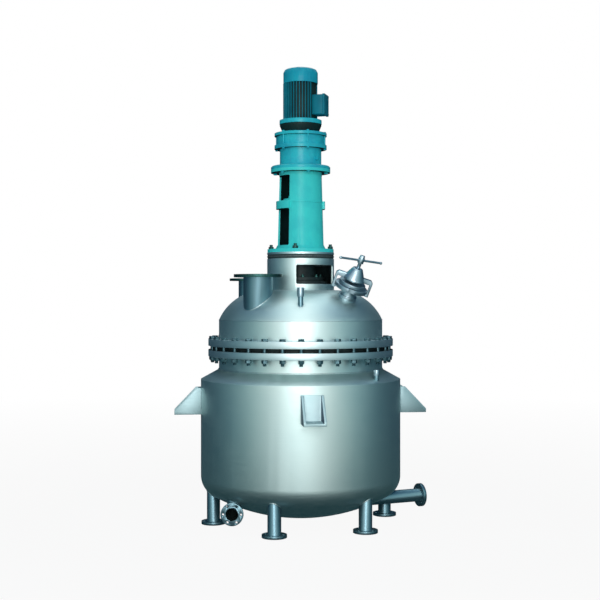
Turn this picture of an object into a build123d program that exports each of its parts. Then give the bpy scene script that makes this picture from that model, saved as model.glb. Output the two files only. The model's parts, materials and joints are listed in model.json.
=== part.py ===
from build123d import *
import os
from math import asin, atan2, cos, degrees, hypot, pi, radians, sin, sqrt

# A jacketed, stirred reaction kettle with its drive on top. Millimetres.
# The origin lies on the vessel's axis at the floor, +Z is up and the front is -Y.
# An azimuth is an angle about +Z that starts at the front and grows towards +X.

# Vessel: a pressure shell with a torispherical bottom
vessel_bore_radius = 450
vessel_wall = 6
vessel_seam_height = 300
vessel_crown = 900
vessel_knuckle = 90

# Jacket: a wider shell round the vessel, closed by a cone at the top
jacket_radius = 556
jacket_wall = 5
jacket_seam_height = 254
jacket_top_height = 788
jacket_cone_rise = 55
jacket_crown = 1018
jacket_knuckle = 115

# Main flanges between vessel and lid
flange_radius = 515
flange_bolt_circle = 495
flange_bolt_count = 32
flange_bolt_azimuth = -5.625
lower_flange_rise = 73
lower_flange_thickness = 36
upper_flange_thickness = 38
raised_face_radius = 474
raised_face_height = 9
main_gasket_thickness = 4
main_bolt_radius = 10
main_bolt_hole_gap = 1
main_bolt_head = 13
main_nut_height = 17
main_bolt_end = 16
main_hex_across = 30

# Lid: a short cylinder and a dome turned from one arc
lid_skirt_height = 104
dome_arc_radius = 275
dome_arc_offset = 204
seal_seat_radius = 150

# Side lugs that carry the kettle in a platform
lug_azimuths = {"front": 0, "right": 90, "rear": 180, "left": 270}
lug_drop = 191
lug_width = 117
lug_reach = 132
lug_rise = 145
lug_pad_thickness = 14
lug_plate = 13
lug_nose = 21
lug_hole_radius = 13
lug_bolt_reach = 88

# Flanged pipe legs under the bottom dish
leg_count = 6
leg_azimuth = -82
leg_inset = 63
leg_pipe_radius = 36
leg_wall = 5
leg_foot_radius = 66
leg_foot_thickness = 15
leg_hole_circle = 50
leg_hole_radius = 7
leg_hole_count = 4

# Side nozzle, which leaves the bottom dish to one side of the axis
side_nozzle_azimuth = 107
side_nozzle_offset = 157.6
side_nozzle_height = 115
side_nozzle_reach = 107
side_nozzle_start = 250
side_pipe_radius = 36.5
side_pipe_wall = 5
side_flange_radius = 65
side_flange_thickness = 18
side_hole_circle = 50
side_hole_radius = 7
side_hole_count = 4

# Outlet elbow at the front left of the bottom dish
outlet_azimuth = -52.8
outlet_inset = 74
outlet_heading = -10
outlet_height = 108
outlet_bend = 45
outlet_straight = 42
outlet_pipe_radius = 38
outlet_wall = 4
outlet_flange_radius = 60
outlet_flange_thickness = 14
outlet_hole_circle = 47
outlet_hole_radius = 6.25
outlet_hole_count = 6

# Nozzles on the dome
charge_azimuth = -47.5
charge_circle = 343.5
charge_pipe_radius = 80
charge_flange_radius = 131
charge_flange_rise = 106
charge_flange_thickness = 16
charge_hole_circle = 112.5
charge_hole_count = 8
vapour_azimuth = -125
vapour_circle = 346
vapour_pipe_radius = 54
vapour_flange_radius = 105
vapour_flange_rise = 94
vapour_flange_thickness = 14
vapour_hole_circle = 85
vapour_hole_count = 4
dome_pipe_wall = 5
dome_hole_radius = 9

# Small threaded sockets with caps
thermometer_azimuth = -6
thermometer_circle = 395
thermometer_radius = 14
thermometer_rise = 89
thermometer_cap_radius = 18.5
thermometer_cap_height = 48
filler_azimuth = 44
filler_inset = 31
filler_radius = 13
filler_rise = 52
filler_cap_radius = 17
filler_cap_height = 30
socket_wall = 4
socket_depth = 120
cap_crown = 6

# Neck on the dome, which carries the drive and leaves the shaft seal open to view
neck_radius = 187
neck_wall = 8
neck_rise = 339
neck_ring_height = 36
neck_ring_bore = 125
neck_window_height = 105
neck_window_azimuth = 26
neck_window_half = 39.6
window_corner = 9
neck_gasket_radius = 184
neck_gasket_low_thickness = 8
neck_spacer_thickness = 9
neck_gasket_high_thickness = 6
adaptor_thickness = 12
stack_bore = 125

# Drive frame: a tapered cast tube with two windows on each side
frame_base_radius = 185
frame_base_thickness = 19
frame_foot_radius = 131
frame_head_radius = 119
frame_wall = 10
frame_tube_height = 427
frame_flare = 22
frame_head_flange_radius = 166
frame_head_flange_thickness = 17
frame_window_azimuth = -71
frame_window_half = 35
frame_low_window = 21
frame_ring_drop = 160
frame_ring_height = 43
frame_ring_radius = 137
frame_ring_overhang = 2
frame_high_window_drop = 18
frame_bolt_circle = 168
frame_bolt_count = 4
frame_bolt_azimuth = 74
frame_bolt_radius = 9
frame_bolt_across = 27
frame_nut_height = 15
frame_bolt_end = 12
frame_bolt_depth = 30
head_bolt_circle = 146
head_bolt_count = 6
head_bolt_radius = 6
head_bolt_across = 19
head_bolt_head = 8

# Agitator shaft with its bearing, seal and coupling
running_gap = 0.05
shaft_radius = 30
shaft_bottom = 205
bearing_outer_radius = 55
bearing_width = 27
bearing_housing_radius = 72
bearing_housing_flange = 96
bearing_housing_plate = 14
bearing_housing_below = 20
bearing_housing_above = 34
bearing_lip = 12
bearing_lip_height = 8
bearing_housing_taper = 6
seal_seat_below = 6
seal_seat_sill = 16
seal_seat_bore = 62
seal_flange_radius = 128
seal_flange_thickness = 22
seal_housing_radius = 84
seal_housing_rise = 102
seal_cover_thickness = 14
seal_cover_radius = 96
seal_bolt_circle = 112
seal_bolt_count = 8
seal_bolt_radius = 6
seal_bolt_across = 19
seal_bolt_head = 9
seal_bolt_end = 8
coupling_drop = 70
coupling_half_height = 36
coupling_radius = 58
coupling_hub_radius = 46
coupling_flange_height = 13
coupling_bolt_circle = 51
coupling_bolt_count = 6
coupling_bolt_radius = 3

# Anchor impeller
anchor_clearance = 35
anchor_blade = 70
anchor_inner_knuckle = 30
anchor_inner_rise = 30
anchor_thickness = 14
anchor_top = 800
anchor_arm_height = 610
anchor_arm_depth = 60
anchor_hub_radius = 46
anchor_hub_half = 50

# Cycloidal reducer
reducer_flange_radius = 166
reducer_flange_thickness = 19
reducer_flange_chamfer = 6
reducer_neck_radius = 116
reducer_neck_rise = 96
reducer_disc_radius = 146
reducer_disc_thickness = 21
reducer_bore_radius = 92
reducer_bore_rise = 20
output_shaft_radius = 27
output_bearing_radius = 50
ring_pin_count = 12
ring_pin_circle = 104
ring_pin_radius = 9
eccentricity = 5
tooth_clearance = 0.3
pin_ring_radius = 133
pin_ring_bore = 106
pin_ring_height = 51
cover_plate_thickness = 16
cover_neck_radius = 98
cover_neck_wall = 12
cover_neck_height = 50
cover_flange_radius = 116
cover_flange_thickness = 8
cycloid_thickness = 20
cycloid_margin = 4
cycloid_bore_radius = 40
carrier_pin_count = 6
carrier_pin_circle = 68
carrier_pin_radius = 9
carrier_radius = 86
carrier_thickness = 26
carrier_gap = 3
reducer_bolt_circle = 138.5
reducer_bolt_count = 6
reducer_bolt_radius = 4
reducer_bolt_across = 12.5
reducer_bolt_head = 6
reducer_bolt_azimuth = 11
oil_plug_radius = 9
oil_plug_azimuth = 42
oil_plug_rise = 38

# Motor
motor_flange_radius = 118
motor_flange_thickness = 24
motor_core_radius = 88
motor_fin_radius = 98
motor_fin_count = 36
motor_fin_width = 4
motor_frame_height = 205
motor_frame_bore = 79
motor_end_wall = 10
motor_shaft_radius = 17
rotor_radius = 60
rotor_margin = 28
fan_radius = 82
fan_blades = 6
fan_blade_thickness = 3
fan_hub_radius = 28
fan_margin = 8
fan_height = 36
cowl_radius = 96.5
cowl_wall = 2.5
cowl_height = 82
cowl_crown = 22
grille_slots = 24
grille_inner = 20
grille_outer = 66
grille_slot_width = 3.5
box_azimuth = 68
box_rise = 25
box_height = 111
box_width = 92
box_reach = 150
box_lid_thickness = 12
box_lid_overhang = 3
box_corner = 6

# Quick-opening handhole, tilted outwards on the dome
handhole_azimuth = 40
handhole_circle = 347
handhole_tilt = 27
handhole_collar_radius = 50
handhole_collar_height = 16
handhole_pipe_radius = 41
handhole_pipe_wall = 4
handhole_flange_radius = 89
handhole_flange_low = 52
handhole_flange_thickness = 21
handhole_gasket_thickness = 3
handhole_gasket_radius = 62
handhole_cover_radius = 82
handhole_cover_rim = 17
handhole_boss_radius = 18
handhole_boss_height = 15
claw_count = 2
claw_azimuth = 45
claw_width = 26
claw_leg = 12
claw_gap = 2
claw_under_gap = 0.3
claw_hook = 10
claw_hook_height = 12
claw_notch_gap = 3
cover_lift = 12
bridge_lift_gap = 2
bridge_arm_height = 25
bridge_bell_top = 174
bridge_bell_foot_radius = 58
bridge_bell_head_radius = 27
bridge_bell_edge = 8
bridge_bell_wall = 11
bridge_bell_roof = 26
screw_radius = 10
screw_tip_radius = 8
screw_hub_height = 221
screw_hub_radius = 17
screw_hub_half = 15
screw_nut_across = 24
screw_nut_height = 12
bar_radius = 6
bar_length = 272
bar_knob_radius = 8
bar_azimuth = 78

# Heights and radii that follow from the sizes above, from the vessel up
lug_bolt_circle = jacket_radius + lug_bolt_reach
leg_circle = jacket_radius - leg_inset
side_nozzle_length = jacket_radius + side_nozzle_reach
outlet_circle = jacket_radius - outlet_inset
filler_circle = jacket_radius - filler_inset
vessel_radius = vessel_bore_radius + vessel_wall
lug_base_height = jacket_top_height - lug_drop
jacket_cone_top = jacket_top_height + jacket_cone_rise
lower_flange_bottom = jacket_cone_top + lower_flange_rise
lower_flange_top = lower_flange_bottom + lower_flange_thickness
gasket_bottom = lower_flange_top + raised_face_height
gasket_top = gasket_bottom + main_gasket_thickness
upper_flange_bottom = gasket_top + raised_face_height
upper_flange_top = upper_flange_bottom + upper_flange_thickness
dome_corner_height = upper_flange_top + lid_skirt_height
dome_arc_height = dome_corner_height - sqrt(dome_arc_radius**2 - (vessel_radius - dome_arc_offset)**2)


def dome_height(radius, shrink=0):
    """Height of the dome's surface at a radius."""
    return dome_arc_height + sqrt((dome_arc_radius - shrink) ** 2 - (radius - dome_arc_offset) ** 2)


charge_flange_height = dome_height(charge_circle) + charge_flange_rise
vapour_flange_height = dome_height(vapour_circle) + vapour_flange_rise
neck_top = dome_corner_height + neck_rise
neck_window_high = neck_top - neck_ring_height
neck_window_low = neck_window_high - neck_window_height
seal_seat_low = dome_height(seal_seat_radius, vessel_wall) - seal_seat_below
seal_seat_top = neck_window_low + seal_seat_sill
seal_housing_top = seal_seat_top + seal_housing_rise
stack_low_top = neck_top + neck_gasket_low_thickness
spacer_top = stack_low_top + neck_spacer_thickness
stack_high_top = spacer_top + neck_gasket_high_thickness
adaptor_top = stack_high_top + adaptor_thickness
frame_base_top = adaptor_top + frame_base_thickness
frame_height = frame_base_top + frame_tube_height
frame_ring_high = frame_height - frame_ring_drop
frame_ring_low = frame_ring_high - frame_ring_height
frame_high_window_top = frame_height - frame_high_window_drop
frame_top = frame_height + frame_head_flange_thickness
coupling_middle = frame_height - coupling_drop
coupling_top = coupling_middle + coupling_half_height
coupling_low = coupling_middle - coupling_half_height
reducer_flange_top = frame_top + reducer_flange_thickness
reducer_bore_low = reducer_flange_top + reducer_bore_rise
oil_plug_height = reducer_flange_top + oil_plug_rise
reducer_neck_top = reducer_flange_top + reducer_neck_rise
reducer_disc_top = reducer_neck_top + reducer_disc_thickness
pin_ring_top = reducer_disc_top + pin_ring_height
cover_plate_top = pin_ring_top + cover_plate_thickness
cover_neck_top = cover_plate_top + cover_neck_height
motor_flange_top = cover_neck_top + motor_flange_thickness
motor_frame_top = motor_flange_top + motor_frame_height
cowl_top = motor_frame_top + cowl_height
box_low = motor_flange_top + box_rise
box_high = box_low + box_height
anchor_hub_height = shaft_bottom + anchor_hub_half
handhole_flange_top = handhole_flange_low + handhole_flange_thickness
handhole_cover_low = handhole_flange_top + handhole_gasket_thickness
handhole_cover_top = handhole_cover_low + handhole_cover_rim

STAND = (Align.CENTER, Align.CENTER, Align.MIN)


def post(radius, low, high):
    """Upright cylinder on the axis, between two heights."""
    return Pos(0, 0, low) * Cylinder(radius, high - low, align=STAND)


def ring(inner, outer, low, high):
    """Upright tube on the axis, between two heights."""
    return post(outer, low, high) - post(inner, low - 1, high + 1)


def block(width, depth, low, high):
    """Upright box on the axis, between two heights."""
    return Pos(0, 0, low) * Box(width, depth, high - low, align=STAND)


def hexagon(across, low, high):
    """Hexagonal prism on the axis, given across its flats."""
    return Pos(0, 0, low) * extrude(RegularPolygon(across / 2, 6, major_radius=False), high - low)


def lathe(*points):
    """Solid turned about the axis from (radius, height) points."""
    return revolve(Plane.XZ * make_face(Polyline(*points, close=True)), Axis.Z)


def turned(edges):
    """Solid turned about the axis from a closed chain of edges in (radius, height)."""
    return revolve(Plane.XZ * make_face(edges), Axis.Z)


def at(azimuth, radius=0, height=0):
    """Place at an azimuth and radius, turned so that its own -Y points outwards."""
    return Rot(0, 0, azimuth) * Pos(0, -radius, height)


def around(count, radius, start=0):
    """Equal places round the axis."""
    return [at(start + 360 * i / count, radius) for i in range(count)]


def sector(inner, outer, low, high, azimuth, half):
    """Part of a tube that spans half degrees on each side of an azimuth."""
    face = Plane.XZ * make_face(Polyline((inner, low), (outer, low), (outer, high), (inner, high), close=True))
    return Rot(0, 0, azimuth - half - 90) * revolve(face, Axis.Z, revolution_arc=2 * half)


def window(inner, outer, low, high, azimuth, half):
    """Cutter for a window with rounded corners in a tube's wall."""
    cutter = sector(inner, outer, low, high, azimuth, half)
    corners = [e for e in cutter.edges().filter_by(GeomType.LINE) if abs(e.length - (outer - inner)) < 0.01]
    return fillet(corners, window_corner)


def dished(radius, crown, knuckle, seam, top, shrink=0):
    """Half outline of a vessel with a torispherical bottom, shrunk by an even distance."""
    side = radius - shrink
    swing = radius - knuckle
    crown_height = seam + sqrt((crown - knuckle) ** 2 - swing**2)
    slope = atan2(swing, crown_height - seam)
    knuckle_edge = CenterArc((swing, seam), knuckle - shrink, degrees(slope) - 90, 90 - degrees(slope))
    crown_edge = CenterArc((0, crown_height), crown - shrink, -90, degrees(slope))
    bottom = crown_height - crown + shrink
    return [
        crown_edge,
        knuckle_edge,
        Line((side, seam), (side, top)),
        Line((side, top), (0, top)),
        Line((0, top), (0, bottom)),
    ]


def dome_outline(shrink, low):
    """Half outline of the lid's outside or inside, closed at the axis."""
    side = vessel_radius - shrink
    corner = (side, dome_height(side, shrink))
    middle_radius = (side + seal_seat_radius) / 2
    middle = (middle_radius, dome_height(middle_radius, shrink))
    end = (seal_seat_radius, dome_height(seal_seat_radius, shrink))
    return [
        Line((0, low), (side, low)),
        Line((side, low), corner),
        ThreePointArc(corner, middle, end),
        Line(end, (0, end[1])),
        Line((0, end[1]), (0, low)),
    ]


def jacket_body(shrink=0):
    """Solid of the jacket's outside or inside, up to its shoulder."""
    return turned(dished(jacket_radius, jacket_crown, jacket_knuckle, jacket_seam_height, jacket_top_height, shrink))


def bored_flange(radius, bore, low, high, hole_circle, hole_radius, count, start=0):
    """Flange on the axis with a ring of bolt holes."""
    flange = ring(bore, radius, low, high)
    for place in around(count, hole_circle, start):
        flange -= place * post(hole_radius, low - 1, high + 1)
    return flange


def save(name, *shapes):
    """Write the solids of one piece or group to its own file."""
    solids = [solid for shape in shapes for solid in shape.solids()]
    export_step(Compound(children=solids), f"parts/{name}.step")


def make_vessel():
    """Inner vessel and its jacket."""
    outline = (vessel_radius, vessel_crown, vessel_knuckle, vessel_seam_height)
    outside = turned(dished(*outline, lower_flange_bottom))
    inside = turned(dished(*outline, lower_flange_bottom + 1, vessel_wall))
    save("inner_vessel", outside - inside)

    cone = lathe(
        (0, jacket_top_height),
        (jacket_radius, jacket_top_height),
        (vessel_radius, jacket_cone_top),
        (0, jacket_cone_top),
    )
    slope = hypot(jacket_radius - vessel_radius, jacket_cone_rise) / (jacket_radius - vessel_radius)
    drop = jacket_wall * slope
    hollow = lathe(
        (0, jacket_top_height - 1),
        (jacket_radius - jacket_wall, jacket_top_height - 1),
        (jacket_radius - jacket_wall, jacket_top_height + jacket_wall * jacket_cone_rise
         / (jacket_radius - vessel_radius) - drop),
        (vessel_radius, jacket_cone_top - drop),
        (0, jacket_cone_top - drop),
    )
    shell = jacket_body() + cone - jacket_body(jacket_wall) - hollow
    shell -= post(vessel_radius, jacket_seam_height, jacket_cone_top + 1)
    shell -= at(filler_azimuth, filler_circle) * post(
        filler_radius - socket_wall, jacket_top_height - 20, jacket_cone_top
    )
    side = side_nozzle_place() * Cylinder(side_pipe_radius - side_pipe_wall, side_nozzle_length, align=STAND)
    shell -= side
    shell -= at(outlet_azimuth, outlet_circle) * post(
        outlet_pipe_radius - outlet_wall, outlet_height, jacket_seam_height
    )
    save("jacket_shell", shell)


def side_nozzle_place():
    """Place of the side nozzle's axis, with its +Z along the flow out of the flange."""
    start = Pos(-side_nozzle_offset, -side_nozzle_start, side_nozzle_height)
    return Rot(0, 0, side_nozzle_azimuth) * start * Rot(90, 0, 0)


def make_main_flanges():
    """Flange pair, gasket and bolts between vessel and lid."""
    hole = main_bolt_radius + main_bolt_hole_gap
    pattern = (flange_bolt_circle, hole, flange_bolt_count, flange_bolt_azimuth)
    lower = bored_flange(flange_radius, vessel_bore_radius, lower_flange_bottom, lower_flange_top, *pattern)
    lower += ring(vessel_bore_radius, raised_face_radius, lower_flange_top, gasket_bottom)
    save("vessel_flange", lower)
    save("main_gasket", ring(vessel_bore_radius, raised_face_radius, gasket_bottom, gasket_top))
    upper = bored_flange(flange_radius, vessel_bore_radius, upper_flange_bottom, upper_flange_top, *pattern)
    upper += ring(vessel_bore_radius, raised_face_radius, gasket_top, upper_flange_bottom)
    save("lid_flange", upper)

    bolt = hexagon(main_hex_across, upper_flange_top, upper_flange_top + main_bolt_head)
    bolt += post(main_bolt_radius, lower_flange_bottom - main_nut_height - main_bolt_end, upper_flange_top)
    bolt += hexagon(main_hex_across, lower_flange_bottom - main_nut_height, lower_flange_bottom)
    places = around(flange_bolt_count, flange_bolt_circle, flange_bolt_azimuth)
    save("main_flange_bolts", *[place * bolt for place in places])


def handhole_place():
    """Foot of the handhole on the dome, with +Z along its tilted axis."""
    return at(handhole_azimuth, handhole_circle, dome_height(handhole_circle)) * Rot(handhole_tilt, 0, 0)


def make_lid():
    """Domed lid, cut open under each of its nozzles."""
    lid = turned(dome_outline(0, upper_flange_top)) - turned(dome_outline(vessel_wall, upper_flange_top - 1))
    lid -= post(seal_seat_radius, upper_flange_top, seal_seat_top)
    for azimuth, circle, bore in (
        (charge_azimuth, charge_circle, charge_pipe_radius - dome_pipe_wall),
        (vapour_azimuth, vapour_circle, vapour_pipe_radius - dome_pipe_wall),
        (thermometer_azimuth, thermometer_circle, thermometer_radius - socket_wall),
    ):
        lid -= at(azimuth, circle) * post(bore, upper_flange_top, charge_flange_height)
    bore = handhole_pipe_radius - handhole_pipe_wall
    lid -= handhole_place() * post(bore, -bore, handhole_flange_low)
    save("lid_dome", lid)


def above_dome(piece):
    """Cut a piece to the dome's outside surface."""
    return piece - turned(dome_outline(0, upper_flange_top))


def make_dome_nozzles():
    """Open flanged nozzles and the capped thermometer socket."""
    for name, azimuth, circle, pipe, radius, low, thickness, bolts, count in (
        ("charge_nozzle", charge_azimuth, charge_circle, charge_pipe_radius, charge_flange_radius,
         charge_flange_height, charge_flange_thickness, charge_hole_circle, charge_hole_count),
        ("vapour_nozzle", vapour_azimuth, vapour_circle, vapour_pipe_radius, vapour_flange_radius,
         vapour_flange_height, vapour_flange_thickness, vapour_hole_circle, vapour_hole_count),
    ):
        bore = pipe - dome_pipe_wall
        nozzle = at(azimuth, circle) * ring(bore, pipe, upper_flange_top, low)
        nozzle = above_dome(nozzle)
        nozzle += at(azimuth, circle) * bored_flange(
            radius, bore, low, low + thickness, bolts, dome_hole_radius, count, 180 / count
        )
        save(name, nozzle)

    foot = dome_height(thermometer_circle)
    top = foot + thermometer_rise
    make_socket("thermometer", thermometer_azimuth, thermometer_circle, thermometer_radius, top,
                thermometer_cap_radius, thermometer_cap_height, above_dome)


def make_socket(name, azimuth, circle, radius, top, cap_radius, cap_height, trim):
    """Threaded pipe stub with a cap screwed over its end."""
    place = at(azimuth, circle)
    stub_top = top - cap_crown
    stub = place * ring(radius - socket_wall, radius, top - cap_height - socket_depth, stub_top)
    save(f"{name}_nipple", trim(stub))
    cap = post(cap_radius, top - cap_height, top) - post(radius, top - cap_height - 1, stub_top)
    save(f"{name}_cap", place * cap)


def make_jacket_filler():
    """Capped socket on the jacket's cone."""
    cone_height = jacket_top_height + jacket_cone_rise * (jacket_radius - filler_circle) / (
        jacket_radius - vessel_radius
    )
    cone = lathe(
        (0, 0), (jacket_radius, 0), (jacket_radius, jacket_top_height), (vessel_radius, jacket_cone_top),
        (0, jacket_cone_top)
    )
    make_socket("jacket_filler", filler_azimuth, filler_circle, filler_radius, cone_height + filler_rise,
                filler_cap_radius, filler_cap_height, lambda stub: stub - cone)


def make_lugs():
    """Four bracket lugs: a pad on the shell, a base plate and two gussets each."""
    pad_radius = jacket_radius + lug_pad_thickness
    nose_radius = jacket_radius + lug_pad_thickness + lug_reach
    lug_top = lug_base_height + lug_rise
    pad_half = degrees(lug_width / 2 / pad_radius)
    pad = sector(jacket_radius, pad_radius, lug_base_height, lug_top, 0, pad_half)
    plate = Pos(0, -(nose_radius + jacket_radius) / 2, 0) * block(
        lug_width, nose_radius - jacket_radius, lug_base_height, lug_base_height + lug_plate
    )
    side = Plane.YZ * make_face(
        Polyline(
            (-jacket_radius, lug_base_height),
            (-nose_radius, lug_base_height),
            (-nose_radius, lug_base_height + lug_nose),
            (-pad_radius - lug_plate, lug_top),
            (-jacket_radius, lug_top),
            close=True,
        )
    )
    gusset = extrude(side, lug_plate)
    lug = pad + plate
    lug += Pos(lug_width / 2 - lug_plate, 0, 0) * gusset
    lug += Pos(-lug_width / 2, 0, 0) * gusset
    lug -= post(jacket_radius, lug_base_height - 1, lug_top + 1)
    lug -= Pos(0, -lug_bolt_circle, 0) * post(lug_hole_radius, lug_base_height - 1, lug_base_height + lug_plate + 1)
    for side_name, azimuth in lug_azimuths.items():
        save(f"lug_{side_name}", Rot(0, 0, azimuth) * lug)


def make_legs():
    """Flanged pipe legs, coped to the bottom dish."""
    outside = jacket_body()
    for number, place in enumerate(around(leg_count, leg_circle, leg_azimuth), 1):
        leg = place * ring(leg_pipe_radius - leg_wall, leg_pipe_radius, leg_foot_thickness, jacket_seam_height)
        leg -= outside
        leg += place * bored_flange(
            leg_foot_radius, leg_pipe_radius - leg_wall, 0, leg_foot_thickness,
            leg_hole_circle, leg_hole_radius, leg_hole_count
        )
        save(f"leg_{number}", leg)


def make_side_nozzle():
    """Straight nozzle that leaves the bottom dish past one leg."""
    length = side_nozzle_length - side_nozzle_start
    bore = side_pipe_radius - side_pipe_wall
    pipe = side_nozzle_place() * ring(bore, side_pipe_radius, 0, length)
    pipe -= jacket_body()
    pipe += side_nozzle_place() * bored_flange(
        side_flange_radius, bore, length, length + side_flange_thickness,
        side_hole_circle, side_hole_radius, side_hole_count, 45
    )
    save("side_nozzle", pipe)


def make_outlet():
    """Elbow from the bottom dish to a flange that faces the front."""
    turn = Rot(0, 0, outlet_azimuth) * Pos(0, -outlet_circle, 0) * Rot(0, 0, outlet_heading - outlet_azimuth)
    bore = outlet_pipe_radius - outlet_wall
    bend_top = outlet_height + outlet_bend
    face = Plane.XY * (Circle(outlet_pipe_radius) - Circle(bore))
    bend_axis = Axis((0, -outlet_bend, bend_top), (-1, 0, 0))
    bend = revolve(Pos(0, 0, bend_top) * face, bend_axis, revolution_arc=90)
    rise = ring(bore, outlet_pipe_radius, bend_top, jacket_seam_height)
    run = Pos(0, -outlet_bend, outlet_height) * Rot(90, 0, 0) * ring(bore, outlet_pipe_radius, 0, outlet_straight)
    flange = Pos(0, -outlet_bend, outlet_height) * Rot(90, 0, 0) * bored_flange(
        outlet_flange_radius, bore, outlet_straight, outlet_straight + outlet_flange_thickness,
        outlet_hole_circle, outlet_hole_radius, outlet_hole_count, 30
    )
    outlet = turn * (rise + bend + run)
    outlet -= jacket_body()
    save("outlet_elbow", outlet + turn * flange)


def make_neck():
    """Neck with two windows, and the rings stacked between it and the drive frame."""
    bore = neck_radius - neck_wall
    wall = above_dome(ring(bore, neck_radius, upper_flange_top, neck_top - neck_ring_height))
    wall += ring(neck_ring_bore, neck_radius, neck_top - neck_ring_height, neck_top)
    for turn in (0, 180):
        wall -= window(bore - 20, neck_radius + 20, neck_window_low, neck_window_high,
                       neck_window_azimuth + turn, neck_window_half)
    holes = [place * post(frame_bolt_radius, neck_top - frame_bolt_depth, neck_top + 1)
             for place in around(frame_bolt_count, frame_bolt_circle, frame_bolt_azimuth)]
    for hole in holes:
        wall -= hole
    save("neck_pedestal", wall)

    pattern = (frame_bolt_circle, frame_bolt_radius, frame_bolt_count, frame_bolt_azimuth)
    save(
        "neck_gaskets",
        bored_flange(neck_gasket_radius, stack_bore, neck_top, stack_low_top, *pattern),
        bored_flange(neck_gasket_radius, stack_bore, spacer_top, stack_high_top, *pattern),
    )
    save("neck_spacer", bored_flange(neck_radius, stack_bore, stack_low_top, spacer_top, *pattern))
    save("adaptor_plate", bored_flange(neck_radius, stack_bore, stack_high_top, adaptor_top, *pattern))

    stud = post(frame_bolt_radius, neck_top - frame_bolt_depth, frame_base_top + frame_nut_height + frame_bolt_end)
    stud += hexagon(frame_bolt_across, frame_base_top, frame_base_top + frame_nut_height)
    places = around(frame_bolt_count, frame_bolt_circle, frame_bolt_azimuth)
    save("frame_base_bolts", *[place * stud for place in places])


def frame_radius(height):
    """Outside radius of the tapered drive frame at a height."""
    share = (height - frame_base_top) / (frame_height - frame_base_top)
    return frame_foot_radius + (frame_head_radius - frame_foot_radius) * share


def make_drive_frame():
    """Cast frame: base and head flanges, tapered tube, middle ring and four windows."""
    flare_top = frame_base_top + frame_flare
    foot_bore = frame_foot_radius - frame_wall
    head_bore = frame_head_radius - frame_wall
    frame = lathe(
        (foot_bore, adaptor_top),
        (frame_base_radius, adaptor_top),
        (frame_base_radius, frame_base_top),
        (frame_foot_radius + frame_flare / 2, frame_base_top),
        (frame_radius(flare_top), flare_top),
        (frame_head_radius, frame_height),
        (frame_head_flange_radius, frame_height),
        (frame_head_flange_radius, frame_top),
        (head_bore, frame_top),
    )
    far = frame_ring_radius + 20
    near = head_bore - 20
    low_window = frame_base_top + frame_low_window
    for turn in (0, 180):
        azimuth = frame_window_azimuth + turn
        frame -= window(near, far, low_window, frame_ring_low, azimuth, frame_window_half)
        frame -= window(near, far, frame_ring_high, frame_high_window_top, azimuth, frame_window_half)
        frame += sector(head_bore, frame_ring_radius, frame_ring_low, frame_ring_high, azimuth,
                        frame_window_half + frame_ring_overhang)
    frame += ring(bearing_housing_radius, frame_foot_radius - frame_wall / 2, frame_ring_high - frame_wall,
                  frame_ring_high)
    for place in around(frame_bolt_count, frame_bolt_circle, frame_bolt_azimuth):
        frame -= place * post(frame_bolt_radius, adaptor_top - 1, frame_base_top + 1)
    for place in around(head_bolt_count, head_bolt_circle, reducer_bolt_azimuth):
        frame -= place * post(head_bolt_radius, frame_height - 1, frame_top + 1)
    save("drive_frame", frame)

    bolt = hexagon(head_bolt_across, frame_height - head_bolt_head, frame_height)
    bolt += post(head_bolt_radius, frame_height, reducer_flange_top - reducer_flange_chamfer)
    places = around(head_bolt_count, head_bolt_circle, reducer_bolt_azimuth)
    save("frame_head_bolts", *[place * bolt for place in places])

    top = frame_ring_high + bearing_housing_above
    lip = top - bearing_lip_height
    housing = lathe(
        (bearing_outer_radius, frame_ring_high - bearing_housing_below),
        (bearing_housing_radius, frame_ring_high - bearing_housing_below),
        (bearing_housing_radius, frame_ring_high),
        (bearing_housing_flange, frame_ring_high),
        (bearing_housing_flange, frame_ring_high + bearing_housing_plate),
        (bearing_housing_radius, frame_ring_high + bearing_housing_plate),
        (bearing_housing_radius - bearing_housing_taper, top),
        (bearing_outer_radius - bearing_lip, top),
        (bearing_outer_radius - bearing_lip, lip),
        (bearing_outer_radius, lip),
    )
    save("frame_bearing_housing", housing)
    save("frame_bearing", ring(shaft_radius + running_gap, bearing_outer_radius, lip - bearing_width, lip))


def make_seal():
    """Seal seat in the dome's crown, with the gland housing bolted on it."""
    seat = ring(seal_seat_bore, seal_seat_radius, seal_seat_low, seal_seat_top)
    for place in around(seal_bolt_count, seal_bolt_circle):
        seat -= place * post(seal_bolt_radius, seal_seat_low + 10, seal_seat_top + 1)
    save("seal_seat", seat)
    flange_top = seal_seat_top + seal_flange_thickness
    bore = shaft_radius + running_gap
    body = lathe(
        (bore, seal_seat_top),
        (seal_flange_radius, seal_seat_top),
        (seal_flange_radius, flange_top),
        (seal_housing_radius, flange_top),
        (seal_housing_radius, seal_housing_top - seal_cover_thickness),
        (seal_cover_radius, seal_housing_top - seal_cover_thickness),
        (seal_cover_radius, seal_housing_top),
        (bore, seal_housing_top),
    )
    for place in around(seal_bolt_count, seal_bolt_circle):
        body -= place * post(seal_bolt_radius, seal_seat_top - 1, flange_top + 1)
    save("seal_body", body)
    bolt = post(seal_bolt_radius, seal_seat_low + 10, flange_top + seal_bolt_head + seal_bolt_end)
    bolt += hexagon(seal_bolt_across, flange_top, flange_top + seal_bolt_head)
    save("seal_bolts", *[place * bolt for place in around(seal_bolt_count, seal_bolt_circle)])


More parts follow.
